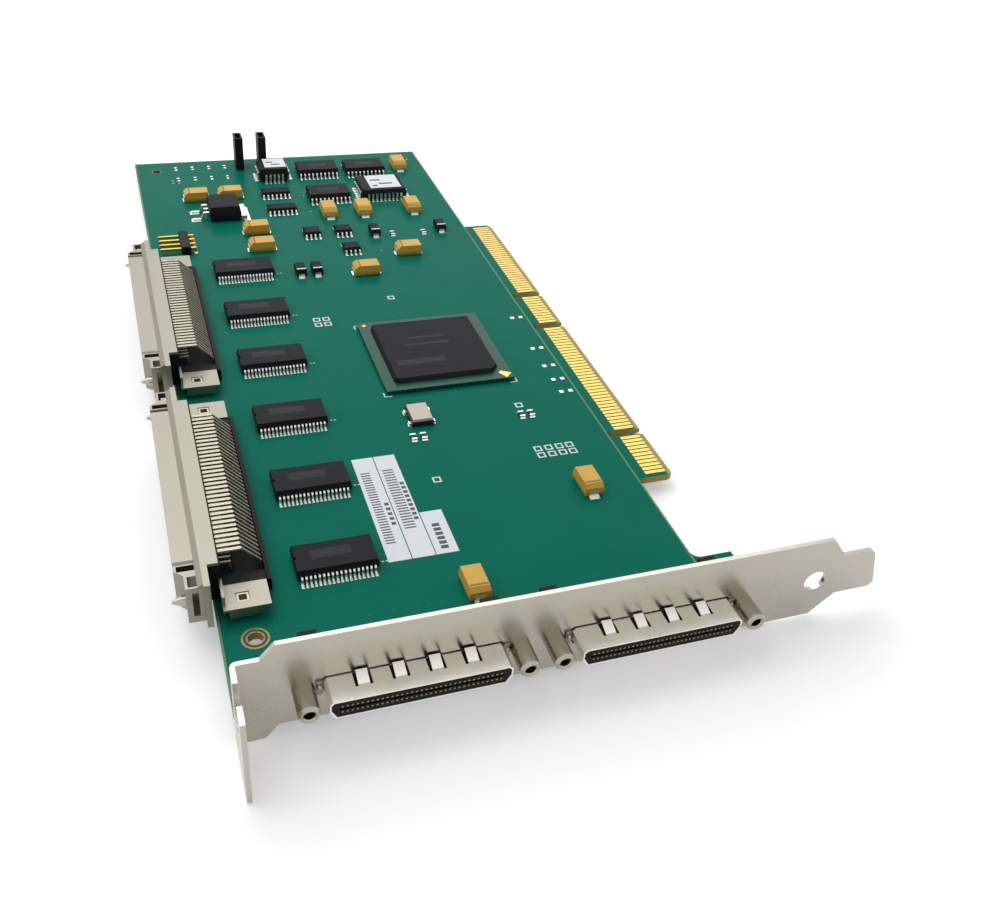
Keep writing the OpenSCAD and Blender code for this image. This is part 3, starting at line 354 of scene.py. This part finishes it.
patch = add(tree, "ShaderNodeTexVoronoi", {"Vector": place, "Scale": per_mm(PATCH_MM), "Randomness": 0.9},
            distance="CHEBYCHEV")
pick = add(tree, "ShaderNodeSeparateColor", {0: patch.outputs["Color"]}).outputs
way = work(tree, "GREATER_THAN", pick[0], 0.5)
run = add(tree, "ShaderNodeMix", {0: way, 2: lanes(0), 3: lanes(1)})
track = work(tree, "MULTIPLY", run.outputs[0], work(tree, "LESS_THAN", pick[1], TRACKED))
wash = noise(tree, place, 30.0, 2.0)
green = blend(tree, wash.outputs[0], "#056A58", "#0C7360")
traced = blend(tree, work(tree, "MULTIPLY", track, 0.14), green, "#15806D")
# bare laminate on the cut edges and on the bevel of the finger edge
FLAT = 0.97
BEVEL_X = -7.2
facing = add(tree, "ShaderNodeSeparateXYZ", {0: add(tree, "ShaderNodeNewGeometry").outputs["True Normal"]})
edge = work(tree, "LESS_THAN", work(tree, "ABSOLUTE", facing.outputs[2]), FLAT)
straw = blend(tree, work(tree, "GREATER_THAN", axes[0], BEVEL_X * MM), "#7E9A56", "#B7A468")
shown = blend(tree, edge, traced, straw)
# the lacquer stops just short of the board's edges
PULL_BACK = 0.4
half = PULL_BACK / 2
near_left = work(tree, "LESS_THAN", axes[0], (CORNER.x + PULL_BACK) * MM)
near_rear = work(tree, "GREATER_THAN", axes[1], (CORNER.y + BOARD_Y[1] - PULL_BACK) * MM)
near_strip = work(tree, "COMPARE", axes[0], (CORNER.x + BOARD_X[1] - half) * MM, half * MM)
margin = work(tree, "MAXIMUM", work(tree, "MAXIMUM", near_left, near_rear), near_strip)
rimmed = blend(tree, work(tree, "MULTIPLY", margin, 0.55), shown, "#8FAE7A")
tree.links.new(rimmed, shader.inputs["Base Color"])
relief(tree, shader, track, 0.05, 0.02)
finishes["solder_mask"] = made
print("solder mask with tracks every", LANE_MM, "mm")

# %% [markdown]
# **Paper labels.** Thermal labels are matte white with a crisp edge and a very fine fibre. Their print
# is modelled further on, as plain stripes and dashes with no lettering.

# %% Label paper
made, tree, shader, place = finish("label_paper", "#E6ECEF", 0.55, 0.0, **shine(1.45, 0.2))
fibre = noise(tree, place, 0.3, 3.0)
relief(tree, shader, fibre.outputs[0], 0.15, 0.01)
finishes["label_paper"] = made

# %% Put the finishes on the card
for row in frame["record"]["subparts"]:
    piece = nodes[row["node"]]
    piece.data.materials.clear()
    piece.data.materials.append(finishes[row["material_slot"]])
# painted sheen: the external shells get the paler copy of the nickel
nodes["external_shells"].data.materials[0] = finishes["shell_nickel_painted_sheen"]
# painted shade: the internal leads and the boardlocks get the darker copy of the tin
for name in ("internal_upper_leads", "internal_lower_leads", "boardlocks"):
    nodes[name].data.materials[0] = finishes["tin_painted_shade"]
nodes["external_contacts"].data.materials[0] = finishes["shaded_gold_plating"]
print("finished", len(nodes), "nodes")

# %% [markdown]
# ## Ways of making the small parts
# What is still missing is small and repeats: plated rings, solder, print, clips. Each kind is
# modelled once, in edit mode, and then copied. Everything is deselected before a primitive is added,
# because an operator acts on all that is selected.

# %% Selecting, finishing and copying
def fresh():
    """Leaves edit mode and selects nothing."""
    if bpy.context.object and bpy.context.object.mode != "OBJECT":
        bpy.ops.object.mode_set(mode="OBJECT")
    bpy.ops.object.select_all(action="DESELECT")


def faces_where(test):
    """In edit mode: selects only the faces whose normal and centre, in mm, pass the test."""
    bpy.ops.object.mode_set(mode="OBJECT")
    mesh = bpy.context.object.data
    bpy.ops.object.mode_set(mode="EDIT")
    bpy.ops.mesh.select_all(action="DESELECT")
    bpy.ops.object.mode_set(mode="OBJECT")
    for face in mesh.polygons:
        face.select = test(face.normal, face.center / MM)
    bpy.ops.object.mode_set(mode="EDIT")
    bpy.ops.mesh.select_mode(type="FACE")


def block(size, at=(0, 0, 0)):
    """A box of the given size in mm, standing on z = 0, in edit mode with nothing selected."""
    fresh()
    bpy.ops.mesh.primitive_cube_add(size=1)
    box = bpy.context.object
    box.scale = [s * MM for s in size]
    box.location = [at[0] * MM, at[1] * MM, (at[2] + size[2] / 2) * MM]
    bpy.ops.object.transform_apply(location=True, rotation=True, scale=True)
    bpy.ops.object.mode_set(mode="EDIT")
    bpy.ops.mesh.select_all(action="DESELECT")
    return box


def slab(wide, tall, thick, x, y, z=0):
    """A plain thin box, back in object mode."""
    made = block((wide, tall, thick), (x, y, z))
    bpy.ops.object.mode_set(mode="OBJECT")
    return made


def repeat(piece, count, step):
    """Repeats the piece with an Array modifier, each one a step in mm further, and applies it."""
    row = piece.modifiers.new("row", "ARRAY")
    row.count = count
    row.use_relative_offset = False
    row.use_constant_offset = True
    row.constant_offset_displace = [s * MM for s in step]
    bpy.ops.object.modifier_apply(modifier="row")
    return piece


def turned(profile, sides, open_ends=False):
    """A turned shape about Z: a circle extruded and scaled from each (radius, z) to the next, in mm."""
    fresh()
    radius, height = profile[0]
    bpy.ops.mesh.primitive_circle_add(vertices=sides, radius=radius * MM, location=(0, 0, height * MM),
                                      fill_type="NOTHING" if open_ends else "NGON")
    shape = bpy.context.object
    bpy.ops.object.transform_apply(location=True, rotation=True, scale=True)
    bpy.ops.object.mode_set(mode="EDIT")
    bpy.ops.mesh.select_all(action="SELECT")
    for wide, tall in profile[1:]:
        if open_ends:
            bpy.ops.mesh.extrude_edges_move(TRANSFORM_OT_translate={"value": (0, 0, (tall - height) * MM)})
        else:
            bpy.ops.mesh.extrude_region_move(TRANSFORM_OT_translate={"value": (0, 0, (tall - height) * MM)})
        bpy.ops.transform.resize(value=(wide / radius, wide / radius, 1), center_override=(0, 0, tall * MM))
        radius, height = wide, tall
    bpy.ops.mesh.select_all(action="SELECT")
    bpy.ops.mesh.normals_make_consistent(inside=False)
    bpy.ops.object.mode_set(mode="OBJECT")
    return shape


def copies(shape, places, turns=None):
    """Copies of a shape, each with its own mesh, at places in mm from the board's corner, joined."""
    fresh()
    made = []
    for number, place in enumerate(places):
        copy = shape.copy()
        copy.data = shape.data.copy()
        copy.location = on_board(*place)
        copy.rotation_euler = (0, 0, math.radians(turns[number]) if turns else 0)
        bpy.context.scene.collection.objects.link(copy)
        made.append(copy)
    bpy.data.objects.remove(shape)
    for copy in made:
        copy.select_set(True)
    bpy.context.view_layer.objects.active = made[0]
    bpy.ops.object.join()
    bpy.ops.object.transform_apply(location=True, rotation=True, scale=True)
    return bpy.context.object


def keep(piece, name, slot, look=None, smooth=None):
    """Names the piece, gives it its finish and lets it ride on the card."""
    fresh()
    piece.name = name
    piece.data.materials.clear()
    piece.data.materials.append(look or finishes[slot])
    if smooth:
        piece.select_set(True)
        bpy.context.view_layer.objects.active = piece
        bpy.ops.object.shade_smooth_by_angle(angle=math.radians(smooth))
    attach(piece, "root")
    print(name, len(piece.data.polygons), "faces")


# %% [markdown]
# ## Plated holes
# A plated hole is an eyelet of copper: a flat ring on each side and a thin tube through the hole. It
# is turned from one profile, starting at the outer rim on top and ending at the outer rim below.

# %% Eyelets of the plated holes
COPPER = 0.04
made, tree, shader, place = finish("bare_copper_pad", "#8C6C42", 0.45, 1.0)
tarnish = noise(tree, place, 1.2, 3.0)
tint(tree, tarnish.outputs[0], shader.inputs["Base Color"], "#6E5230", "#9C7C4C")
copper_look = made
EYELETS = {  # place, hole radius, ring radius
    "front_eyelet": ((5.8, -27.0), 1.4, 1.62),
    "rear_eyelet": ((6.1, 174.8), 1.2, 1.45),
    "index_eyelet": ((85.83, 175.5), 0.7, 1.1),
}
for name, ((x, y), hole, ring) in EYELETS.items():
    low = -BOARD_T - COPPER
    bore = hole - COPPER
    profile = [(ring, 0.0), (ring, COPPER), (bore, COPPER), (bore, low), (ring, low), (ring, -BOARD_T)]
    keep(copies(turned(profile, 48, open_ends=True), [(x, y, 0)]), name, "gold_plating", copper_look, 40)
guard = turned([(2.45, 0.0), (2.45, COPPER), (2.1, COPPER), (2.1, 0.0)], 48, open_ends=True)
keep(copies(guard, [(5.8, -27.0, 0)]), "front_guard_ring", "gold_plating", copper_look, 40)

# %% [markdown]
# ## Solder on the pads
# Every lead stands on a tinned pad, and solder climbs a little at its toe. One pad is a thin box
# whose top is inset and lifted into a low cushion. The pads of a row are an Array modifier on the
# first one; the modifier is applied and the rows are joined.

# %% One pad, and rows of it
PAD_T = 0.05
CUSHION = 0.07


def pad_row(first, step, count, size):
    """A row of pads: centre of the first, step, how many, and (x, y) size, all in mm."""
    pad = block((size[0], size[1], PAD_T), (first[0], first[1], first[2] if len(first) > 2 else 0))
    faces_where(lambda normal, centre: normal.z > 0.9)
    bpy.ops.mesh.inset(thickness=min(size) * 0.28 * MM)
    bpy.ops.transform.translate(value=(0, 0, CUSHION * MM))
    bpy.ops.object.mode_set(mode="OBJECT")
    return repeat(pad, count, step)


def join(parts):
    """Joins objects that lie about the origin and moves the result to the board's corner."""
    fresh()
    for part in parts:
        part.select_set(True)
    bpy.context.view_layer.objects.active = parts[0]
    if len(parts) > 1:
        bpy.ops.object.join()
    whole = bpy.context.object
    whole.location = CORNER * MM
    bpy.ops.object.transform_apply(location=True, rotation=True, scale=True)
    return whole


def lead_pads(places, count, pitch, reach, width):
    """Pads for chips with a row of leads on both long sides; reach is from the chip's middle to the pads."""
    rows = []
    for x, y in places:
        for side in (-1, 1):
            first = (x - (count - 1) / 2 * pitch, y + side * reach)
            rows.append(pad_row(first, (pitch, 0, 0), count, (width, 1.5)))
    return rows


# %% Pads under the line terminators
TERMINATORS = [(22.7, y) for y in (104.6, 81.7, 58.8, 35.1, 11.8, -11.6)]
rows = lead_pads(TERMINATORS, 18, 0.8, 4.85, 0.5)
keep(join(rows), "terminator_solder", "tin_plating")

# %% Pads under the logic and memory chips
WIDE_CHIPS = [(54.8, 168.3), (69.9, 168.0), (54.7, 149.4)]
LONG_CHIPS = [(39.2, 153.1), (39.2, 141.5)]
SHORT_CHIPS = [(44.8, 124.5), (53.8, 124.5), (53.8, 113.1)]
FOLDED_CHIPS = [((71.4, 150.4), (9, 6.1), (7, 7.4)), ((40.5, 166.8), (5, 4.9), (5, 4.9))]
PITCH = 1.27
rows = lead_pads(WIDE_CHIPS, 10, PITCH, 4.9, 0.7)
rows += lead_pads(LONG_CHIPS, 7, PITCH, 2.8, 0.7)
rows += lead_pads(SHORT_CHIPS, 4, PITCH, 2.8, 0.7)
for (x, y), (along, reach_y), (across, reach_x) in FOLDED_CHIPS:
    for side in (-1, 1):
        row_x, row_y = x - (along - 1) * PITCH / 2, y - (across - 1) * PITCH / 2
        rows.append(pad_row((row_x, y + side * reach_y), (PITCH, 0, 0), along, (0.75, 1.7)))
        rows.append(pad_row((x + side * reach_x, row_y), (0, PITCH, 0), across, (1.7, 0.75)))
keep(join(rows), "chip_solder", "tin_plating")

# %% [markdown]
# Capacitors, diodes and resistors have one pad at each end. The regulator has a wide pad for its
# heat tab and one for each lead. Some places on this board were left without a part, so their bare
# pads show: the pairs at the far corner, by the edge fingers and near the controller.

# %% Pads under the two-ended parts and on the empty places
CAPS_X = [(15.7, 152.9), (25.7, 153.2), (29.7, 128.4), (29.6, 117.6), (69.2, 109.1), (54.8, 99.3)]
CAPS_Y = [(78.4, -1.4), (46.0, -24.5), (52.3, 137.2), (62.7, 137.0), (77.8, 136.8), (81.8, 169.2)]
DIODES = [(62.6, 122.2), (82.4, 122.4), (37.3, 101.6), (41.7, 101.6)]
RESISTORS = [(47.3, 22.8), (49.6, 22.8), (73.5, 26.0), (75.8, 26.0), (67.7, 121.0), (76.9, 120.6)]
rows = [pad_row((x - 3.3, y), (6.6, 0, 0), 2, (1.3, 2.4)) for x, y in CAPS_X]
rows += [pad_row((x, y - 3.6), (0, 7.2, 0), 2, (2.3, 1.6)) for x, y in CAPS_Y]
rows += [pad_row((x, y - 2.5), (0, 5.0, 0), 2, (1.9, 1.5)) for x, y in DIODES]
rows += [pad_row((x, y - 1.0), (0, 2.0, 0), 2, (1.25, 0.8)) for x, y in RESISTORS]
rows += [pad_row((14.1, 138.5), (0, 5.0, 0), 2, (2.6, 2.0)), pad_row((28.4, 141.0), (0, 0, 0), 1, (1.9, 9.0))]
rows += [pad_row((47.9, 27.8), (5.2, 0, 0), 2, (1.0, 1.4)), pad_row((47.9, 32.2), (5.2, 0, 0), 2, (1.0, 1.4))]
rows += [pad_row((86.2, y), (2.3, 0, 0), 2, (1.0, 1.0)) for y in (68.2, 52.8, 44.6, 38.5, 33.2)]
EMPTY_CORNER = [(x, y) for x in (12.0, 17.0, 22.0, 26.9) for y in (168.2, 176.4)]
rows += [pad_row((x, y - 0.9), (0, 1.8, 0), 2, (0.8, 0.6)) for x, y in EMPTY_CORNER]
keep(join(rows), "end_pad_solder", "tin_plating")

# %% [markdown]
# ## Solder round the pins
# Underneath, each pin that comes through the board stands in a small cone of solder. A cone of eight
# sides and three rings is enough: there are nearly three hundred of them. The header and the jumpers
# show theirs from above as well.

# %% Solder cones
PITCH_IN, PITCH_EXT, WAYS = 1.27, 0.8, 34
UNDER = -BOARD_T
cone = [(0.18, UNDER - 0.75), (0.26, UNDER - 0.42), (0.56, UNDER - 0.05), (0.56, UNDER)]
INTERNAL_Y = (9.4, 79.3)
EXTERNAL_X = (29.4, 72.4)
ways = [number - (WAYS - 1) / 2 for number in range(WAYS)]
places = [(x, middle + way * PITCH_IN, 0) for middle in INTERNAL_Y for x in (9.3, 3.9) for way in ways]
keep(copies(turned(cone, 8), places), "internal_tail_solder", "tin_plating", None, 60)
cone = [(0.16, UNDER - 0.7), (0.2, UNDER - 0.4), (0.36, UNDER - 0.05), (0.36, UNDER)]
BACK = -36.44
places = [(middle + way * PITCH_EXT, BACK + row + (0.7 if number % 2 == 0 else 0), 0)
          for middle in EXTERNAL_X for row in (2.2, 0.8) for number, way in enumerate(ways)]
keep(copies(turned(cone, 8), places), "external_tail_solder", "tin_plating", None, 60)
JUMPERS = [(31.5, 175.7), (38.6, 175.7)]
HEADER_X = 11.7
HEADER_Y = [122.0 + way * 2.54 for way in (-1.5, -0.5, 0.5, 1.5)]
cone = [(0.5, UNDER - 0.85), (0.6, UNDER - 0.5), (0.95, UNDER - 0.06), (0.95, UNDER)]
header_pins = [(HEADER_X, y, 0) for y in HEADER_Y]
places = [(x, y + side * PITCH, 0) for x, y in JUMPERS for side in (-1, 1)] + header_pins
keep(copies(turned(cone, 16), places), "header_solder", "tin_plating", None, 60)
cone = [(0.7, 0.0), (0.7, 0.05), (0.5, 0.22), (0.44, 0.36)]
keep(copies(turned(cone, 16), header_pins), "header_top_solder", "tin_plating", None, 60)

# %% [markdown]
# ## Vias
# A via is a plated hole that only carries a signal through the board. Here they are flat rings with
# a small dimple, 0.7 mm across, in short groups between the chips and in a fan round the controller.
# The lacquer runs over them, so they show as paler green dots.

# %% Vias on both sides
made, tree, shader, place = finish("lacquer_over_copper", "#157562", 0.3, 0.0, **shine(1.5, 0.04))
dots = noise(tree, place, 2.0, 2.0)
tint(tree, dots.outputs[0], shader.inputs["Base Color"], "#11705D", "#237F6B")
via_look = made
VIA_GROUPS = [  # first, step, count
    ((33.2, 104.0), (0.0, -2.2), 8), ((34.7, 60.0), (0.0, -1.9), 9), ((33.6, 37.0), (1.6, 0), 5),
    ((43.4, 88.0), (1.9, 0.0), 7), ((66.4, 88.0), (1.8, 0.6), 8), ((81.2, 72.0), (0.0, -2.1), 12),
    ((83.0, 26.0), (0.0, -2.4), 7), ((55.4, 20.0), (1.7, 0), 6), ((42.4, 52.0), (0.0, 2.1), 8),
    ((60.9, 84.0), (2.2, 0), 6), ((65.5, -8.0), (1.8, 0), 5), ((18.5, 24.0), (2.0, 0), 5),
    ((15.7, 47.5), (2.2, 0), 6), ((16.6, 70.8), (1.9, 0), 6), ((20.3, 93.6), (1.8, 0), 5),
    ((40.6, 113.0), (0.0, 1.9), 4), ((46.1, 131.0), (1.9, 0), 9), ((81.2, 147.0), (0.0, 2.1), 7),
    ((18.5, 129.0), (0.0, 2.1), 3), ((5.9, 131.0), (0.0, 3.1), 5), ((60.9, 158.8), (1.8, 0), 5),
    ((73.8, 92.0), (0.0, 2.2), 6), ((87.2, 92.0), (0.0, 3.2), 8), ((87.7, 4.0), (0.0, 3.0), 6),
    ((60.9, -20.0), (2.4, 0), 9), ((25.8, -26.5), (2.2, 0), 7), ((48.0, 44.0), (-1.1, 1.6), 4),
]
tops = [(x + n * dx, y + n * dy, 0) for (x, y), (dx, dy), count in VIA_GROUPS for n in range(count)]
ring = [(0.36, 0.0), (0.36, 0.03), (0.17, 0.03), (0.12, -0.02)]
keep(copies(turned(ring, 12), tops), "vias_top", "solder_mask", via_look)
under_ring = [(r, UNDER - z) for r, z in ring]
keep(copies(turned(under_ring, 12), tops), "vias_under", "solder_mask", via_look)

# %% [markdown]
# ## White print
# The board's print is screen ink, about two hundredths of a millimetre thick. A frame is a flat
# square inset and emptied, then pulled up by the ink's thickness. Lettering and marks of makers are
# left off: where the real board has a part's name there is a pair of plain bars.

# %% Ink, frames and bars
INK = 0.02
made, tree, shader, place = finish("white_screen_ink", "#DDE6E2", 0.6, 0.0, IOR=1.5)
spots = noise(tree, place, 0.4, 3.0)
tint(tree, spots.outputs[0], shader.inputs["Base Color"], "#C9D6D0", "#EEF3F1")
ink_look = made


def bar(x, y, wide, tall):
    """A solid bar of ink with its middle at x, y, its corners rounded."""
    ink = block((wide, tall, INK), (x, y, 0))
    bpy.ops.mesh.select_all(action="SELECT")
    bpy.ops.mesh.bevel(offset=min(wide, tall) * 0.2 * MM, segments=1, affect="EDGES")
    bpy.ops.object.mode_set(mode="OBJECT")
    return ink


def outline(x, y, wide, tall, line=0.18):
    """A rectangle drawn in ink."""
    fresh()
    bpy.ops.mesh.primitive_plane_add(size=1, location=(x * MM, y * MM, 0))
    ink = bpy.context.object
    ink.scale = (wide * MM, tall * MM, 1)
    bpy.ops.object.transform_apply(location=True, rotation=True, scale=True)
    bpy.ops.object.mode_set(mode="EDIT")
    bpy.ops.mesh.select_all(action="SELECT")
    bpy.ops.mesh.inset(thickness=line * MM)
    bpy.ops.mesh.delete(type="FACE")
    bpy.ops.mesh.select_all(action="SELECT")
    bpy.ops.mesh.extrude_region_move(TRANSFORM_OT_translate={"value": (0, 0, INK * MM)})
    bpy.ops.mesh.select_all(action="SELECT")
    bpy.ops.mesh.normals_make_consistent(inside=False)
    bpy.ops.object.mode_set(mode="OBJECT")
    return ink


TEST_SQUARES = [(x, y) for x in (72.7, 75.2, 77.7, 80.1) for y in (10.9, 13.2)]
TEST_SQUARES += [(x, y) for x in (36.7, 39.1) for y in (74.0, 76.5)]
TEST_SQUARES += [(48.2, 7.8), (57.9, 84.3), (74.3, 30.0)]
ink = [outline(x, y, 1.8, 1.8, 0.35) for x, y in TEST_SQUARES]
CONTROLLER, HALF = (61.2, 55.5), 16.1
for sx, sy in ((-1, 1), (-1, -1), (1, -1)):
    x, y = CONTROLLER[0] + sx * HALF, CONTROLLER[1] + sy * HALF
    ink += [bar(x - sx * 0.8, y, 1.8, 0.3), bar(x, y - sy * 0.8, 0.3, 1.8)]
for x, y in TERMINATORS:
    ink += [bar(x + 8.7, y - 2.0, 0.5, 0.3), bar(x + 9.5, y - 2.0, 0.5, 0.3)]
for x, y in WIDE_CHIPS + LONG_CHIPS + SHORT_CHIPS:
    ink += [bar(x + 8.2, y - 2.0, 0.5, 0.25)]
ink += [bar(x, y, 0.7, 0.3) for x in (10.2, 12.0) for y in (167.2, 165.4)]
keep(join(ink), "white_print", "label_paper", ink_look)

# %% [markdown]
# The paper labels carry plain print: stripes across each long one and short dashes beside them. It is
# thermal ink, so it has no height to speak of; each stripe is a thin bar, repeated by an Array.

# %% Print on the paper labels
made, tree, shader, place = finish("thermal_print", "#5C5E63", 0.6, 0.0, **shine(1.45, 0.1))
wear = noise(tree, place, 0.5, 3.0)
tint(tree, wear.outputs[0], shader.inputs["Base Color"], "#4A4C50", "#787A7E")
thermal_look = made
LABEL_TOP = 0.1
PRINT_T = 0.01


def stripes(x, first, last, wide, tall, pitch):
    """A ladder of bars centred on x, from first to last along Y, on top of a label."""
    count = int((last - first) / pitch) + 1
    return repeat(slab(wide, tall, PRINT_T, x, first, LABEL_TOP), count, (0, pitch, 0))


marks = [stripes(34.15, -9.0, 13.0, 1.9, 0.34, 0.78), stripes(38.95, -5.5, 13.0, 2.3, 0.36, 0.84)]
marks += [stripes(36.1, -3.6, 3.6, 0.9, 0.85, 1.5), stripes(40.8, -3.0, 9.5, 0.9, 0.85, 1.4)]
marks += [stripes(43.9, -12.4, -5.2, 1.5, 0.9, 1.3)]
keep(join(marks), "label_stripes", "label_paper", thermal_look)

# %% [markdown]
# The small labels on the two memory chips carry a few short fields of the same print. Chip makers burn
# their marks into the epoxy with a laser, which leaves it a shade paler; here each mark is only one plain
# pale patch.

# %% Print fields on chip labels and laser patches on the chips
FIELDS = (  # chip, top of its label, and x, y, width and height of each field
    (FOLDED_CHIPS[0][0], 3.4, ((-1.6, 1.6, 3.2, 0.9), (1.2, -1.2, 4.2, 0.9), (-2.4, -2.6, 1.6, 0.9))),
    (FOLDED_CHIPS[1][0], 4.3, ((-0.8, 1.0, 2.0, 0.8), (0.9, -0.8, 2.6, 0.8))),
)
marks = [slab(wide, tall, PRINT_T, x + dx, y + dy, top)
         for (x, y), top, fields in FIELDS for dx, dy, wide, tall in fields]
keep(join(marks), "chip_label_print", "label_paper", thermal_look)
made, tree, shader, place = finish("laser_marked_epoxy", "#292A2D", 0.55, 0.0, **shine(1.52, 0.12))
burn = noise(tree, place, 0.5, 4.0)
tint(tree, burn.outputs[0], shader.inputs["Base Color"], "#212225", "#38393C")
laser_look = made
CHIP_TOP, MOULDING_TOP = 2.5, 2.21
patches = [slab(7.6, 2.4, PRINT_T, x - 0.6, y + 0.4, CHIP_TOP) for x, y in TERMINATORS]
patches += [slab(6.0, 2.0, PRINT_T, x, y, CHIP_TOP) for x, y in WIDE_CHIPS]
patches += [slab(wide, tall, PRINT_T, x, y, MOULDING_TOP)
            for x, y, wide, tall in ((56.5, 49.5, 12.0, 2.2), (60.0, 57.0, 11.0, 1.0), (60.5, 60.0, 9.0, 1.0))]
keep(join(patches), "laser_patches", "chip_epoxy", laser_look)

# %% [markdown]
# ## The controller's corner
# The mould's gate leaves a small gold wedge on the substrate at one corner, and a gold dot marks the
# chip's first ball. The wedge is a thin bar whose outer end is drawn wider.

# %% Gold corner and dot
corner = block((2.6, 1.0, 0.03))
faces_where(lambda normal, centre: normal.x > 0.9)
bpy.ops.transform.resize(value=(1, 2.4, 1))
bpy.ops.object.mode_set(mode="OBJECT")
SUBSTRATE_TOP = 1.06
keep(copies(corner, [(74.8, 41.95, SUBSTRATE_TOP)], [-45]), "controller_gate", "gold_plating")
keep(copies(turned([(0.45, 0.0), (0.45, 0.03), (0.38, 0.04)], 24), [(47.2, 69.6, SUBSTRATE_TOP)]),
     "controller_first_dot", "gold_plating")

# %% [markdown]
# ## Clips between shell and screws
# A thin earthing strip shows between each shell end and its screw: a bent ear with one rivet. The ear
# is a bevelled box, and the rivet is turned like the other round parts, then laid over.

# %% Earthing ears and rivets
ear = block((1.1, 0.5, 3.0))
bpy.ops.mesh.select_all(action="SELECT")
bpy.ops.mesh.bevel(offset=0.12 * MM, segments=2, affect="EDGES")
bpy.ops.object.mode_set(mode="OBJECT")
EAR_REACH = 15.85
sides = [x + side * EAR_REACH for x in EXTERNAL_X for side in (-1, 1)]
places = [(x, PLATE_FRONT - 0.24, 2.2) for x in sides]
keep(copies(ear, places), "earthing_ears", "nickel_shell", None, 40)
rivet = turned([(0.42, 0.0), (0.42, 0.35), (0.3, 0.5), (0.1, 0.55)], 16)
rivet.rotation_euler = (math.radians(90), 0, 0)
fresh()
rivet.select_set(True)
bpy.context.view_layer.objects.active = rivet
bpy.ops.object.transform_apply(location=True, rotation=True, scale=True)
places = [(x, PLATE_FRONT - 0.48, 4.2) for x in sides]
keep(copies(rivet, places), "earthing_rivets", "nickel_screw", None, 40)

# %% [markdown]
# ## Bands on diodes and capacitors
# A band marks the cathode of a diode in white and the plus end of a capacitor in a darker ochre. Both
# are print on the body: thin boxes that lie on top.

# %% Bands
def band(size):
    strip = block(size)
    faces_where(lambda normal, centre: normal.z > 0.9)
    bpy.ops.mesh.inset(thickness=0.06 * MM)
    bpy.ops.object.mode_set(mode="OBJECT")
    return strip


places = [(x, y - 1.55, 2.2) for x, y in DIODES]
keep(copies(band((2.44, 0.55, 0.02)), places), "diode_bands", "label_paper", ink_look)
made, tree, shader, place = finish("burnt_ochre_print", "#8A5A16", 0.5, 0.0, IOR=1.5)
fade = noise(tree, place, 0.7, 3.0)
tint(tree, fade.outputs[0], shader.inputs["Base Color"], "#7B4F14", "#A06D22")
places = [(x - 2.0, y, 2.9) for x, y in CAPS_X] + [(x, y - 2.0, 2.9) for x, y in CAPS_Y]
turns = [0] * len(CAPS_X) + [90] * len(CAPS_Y)
keep(copies(band((0.5, 3.7, 0.015)), places, turns), "capacitor_bands", "capacitor_epoxy", made)
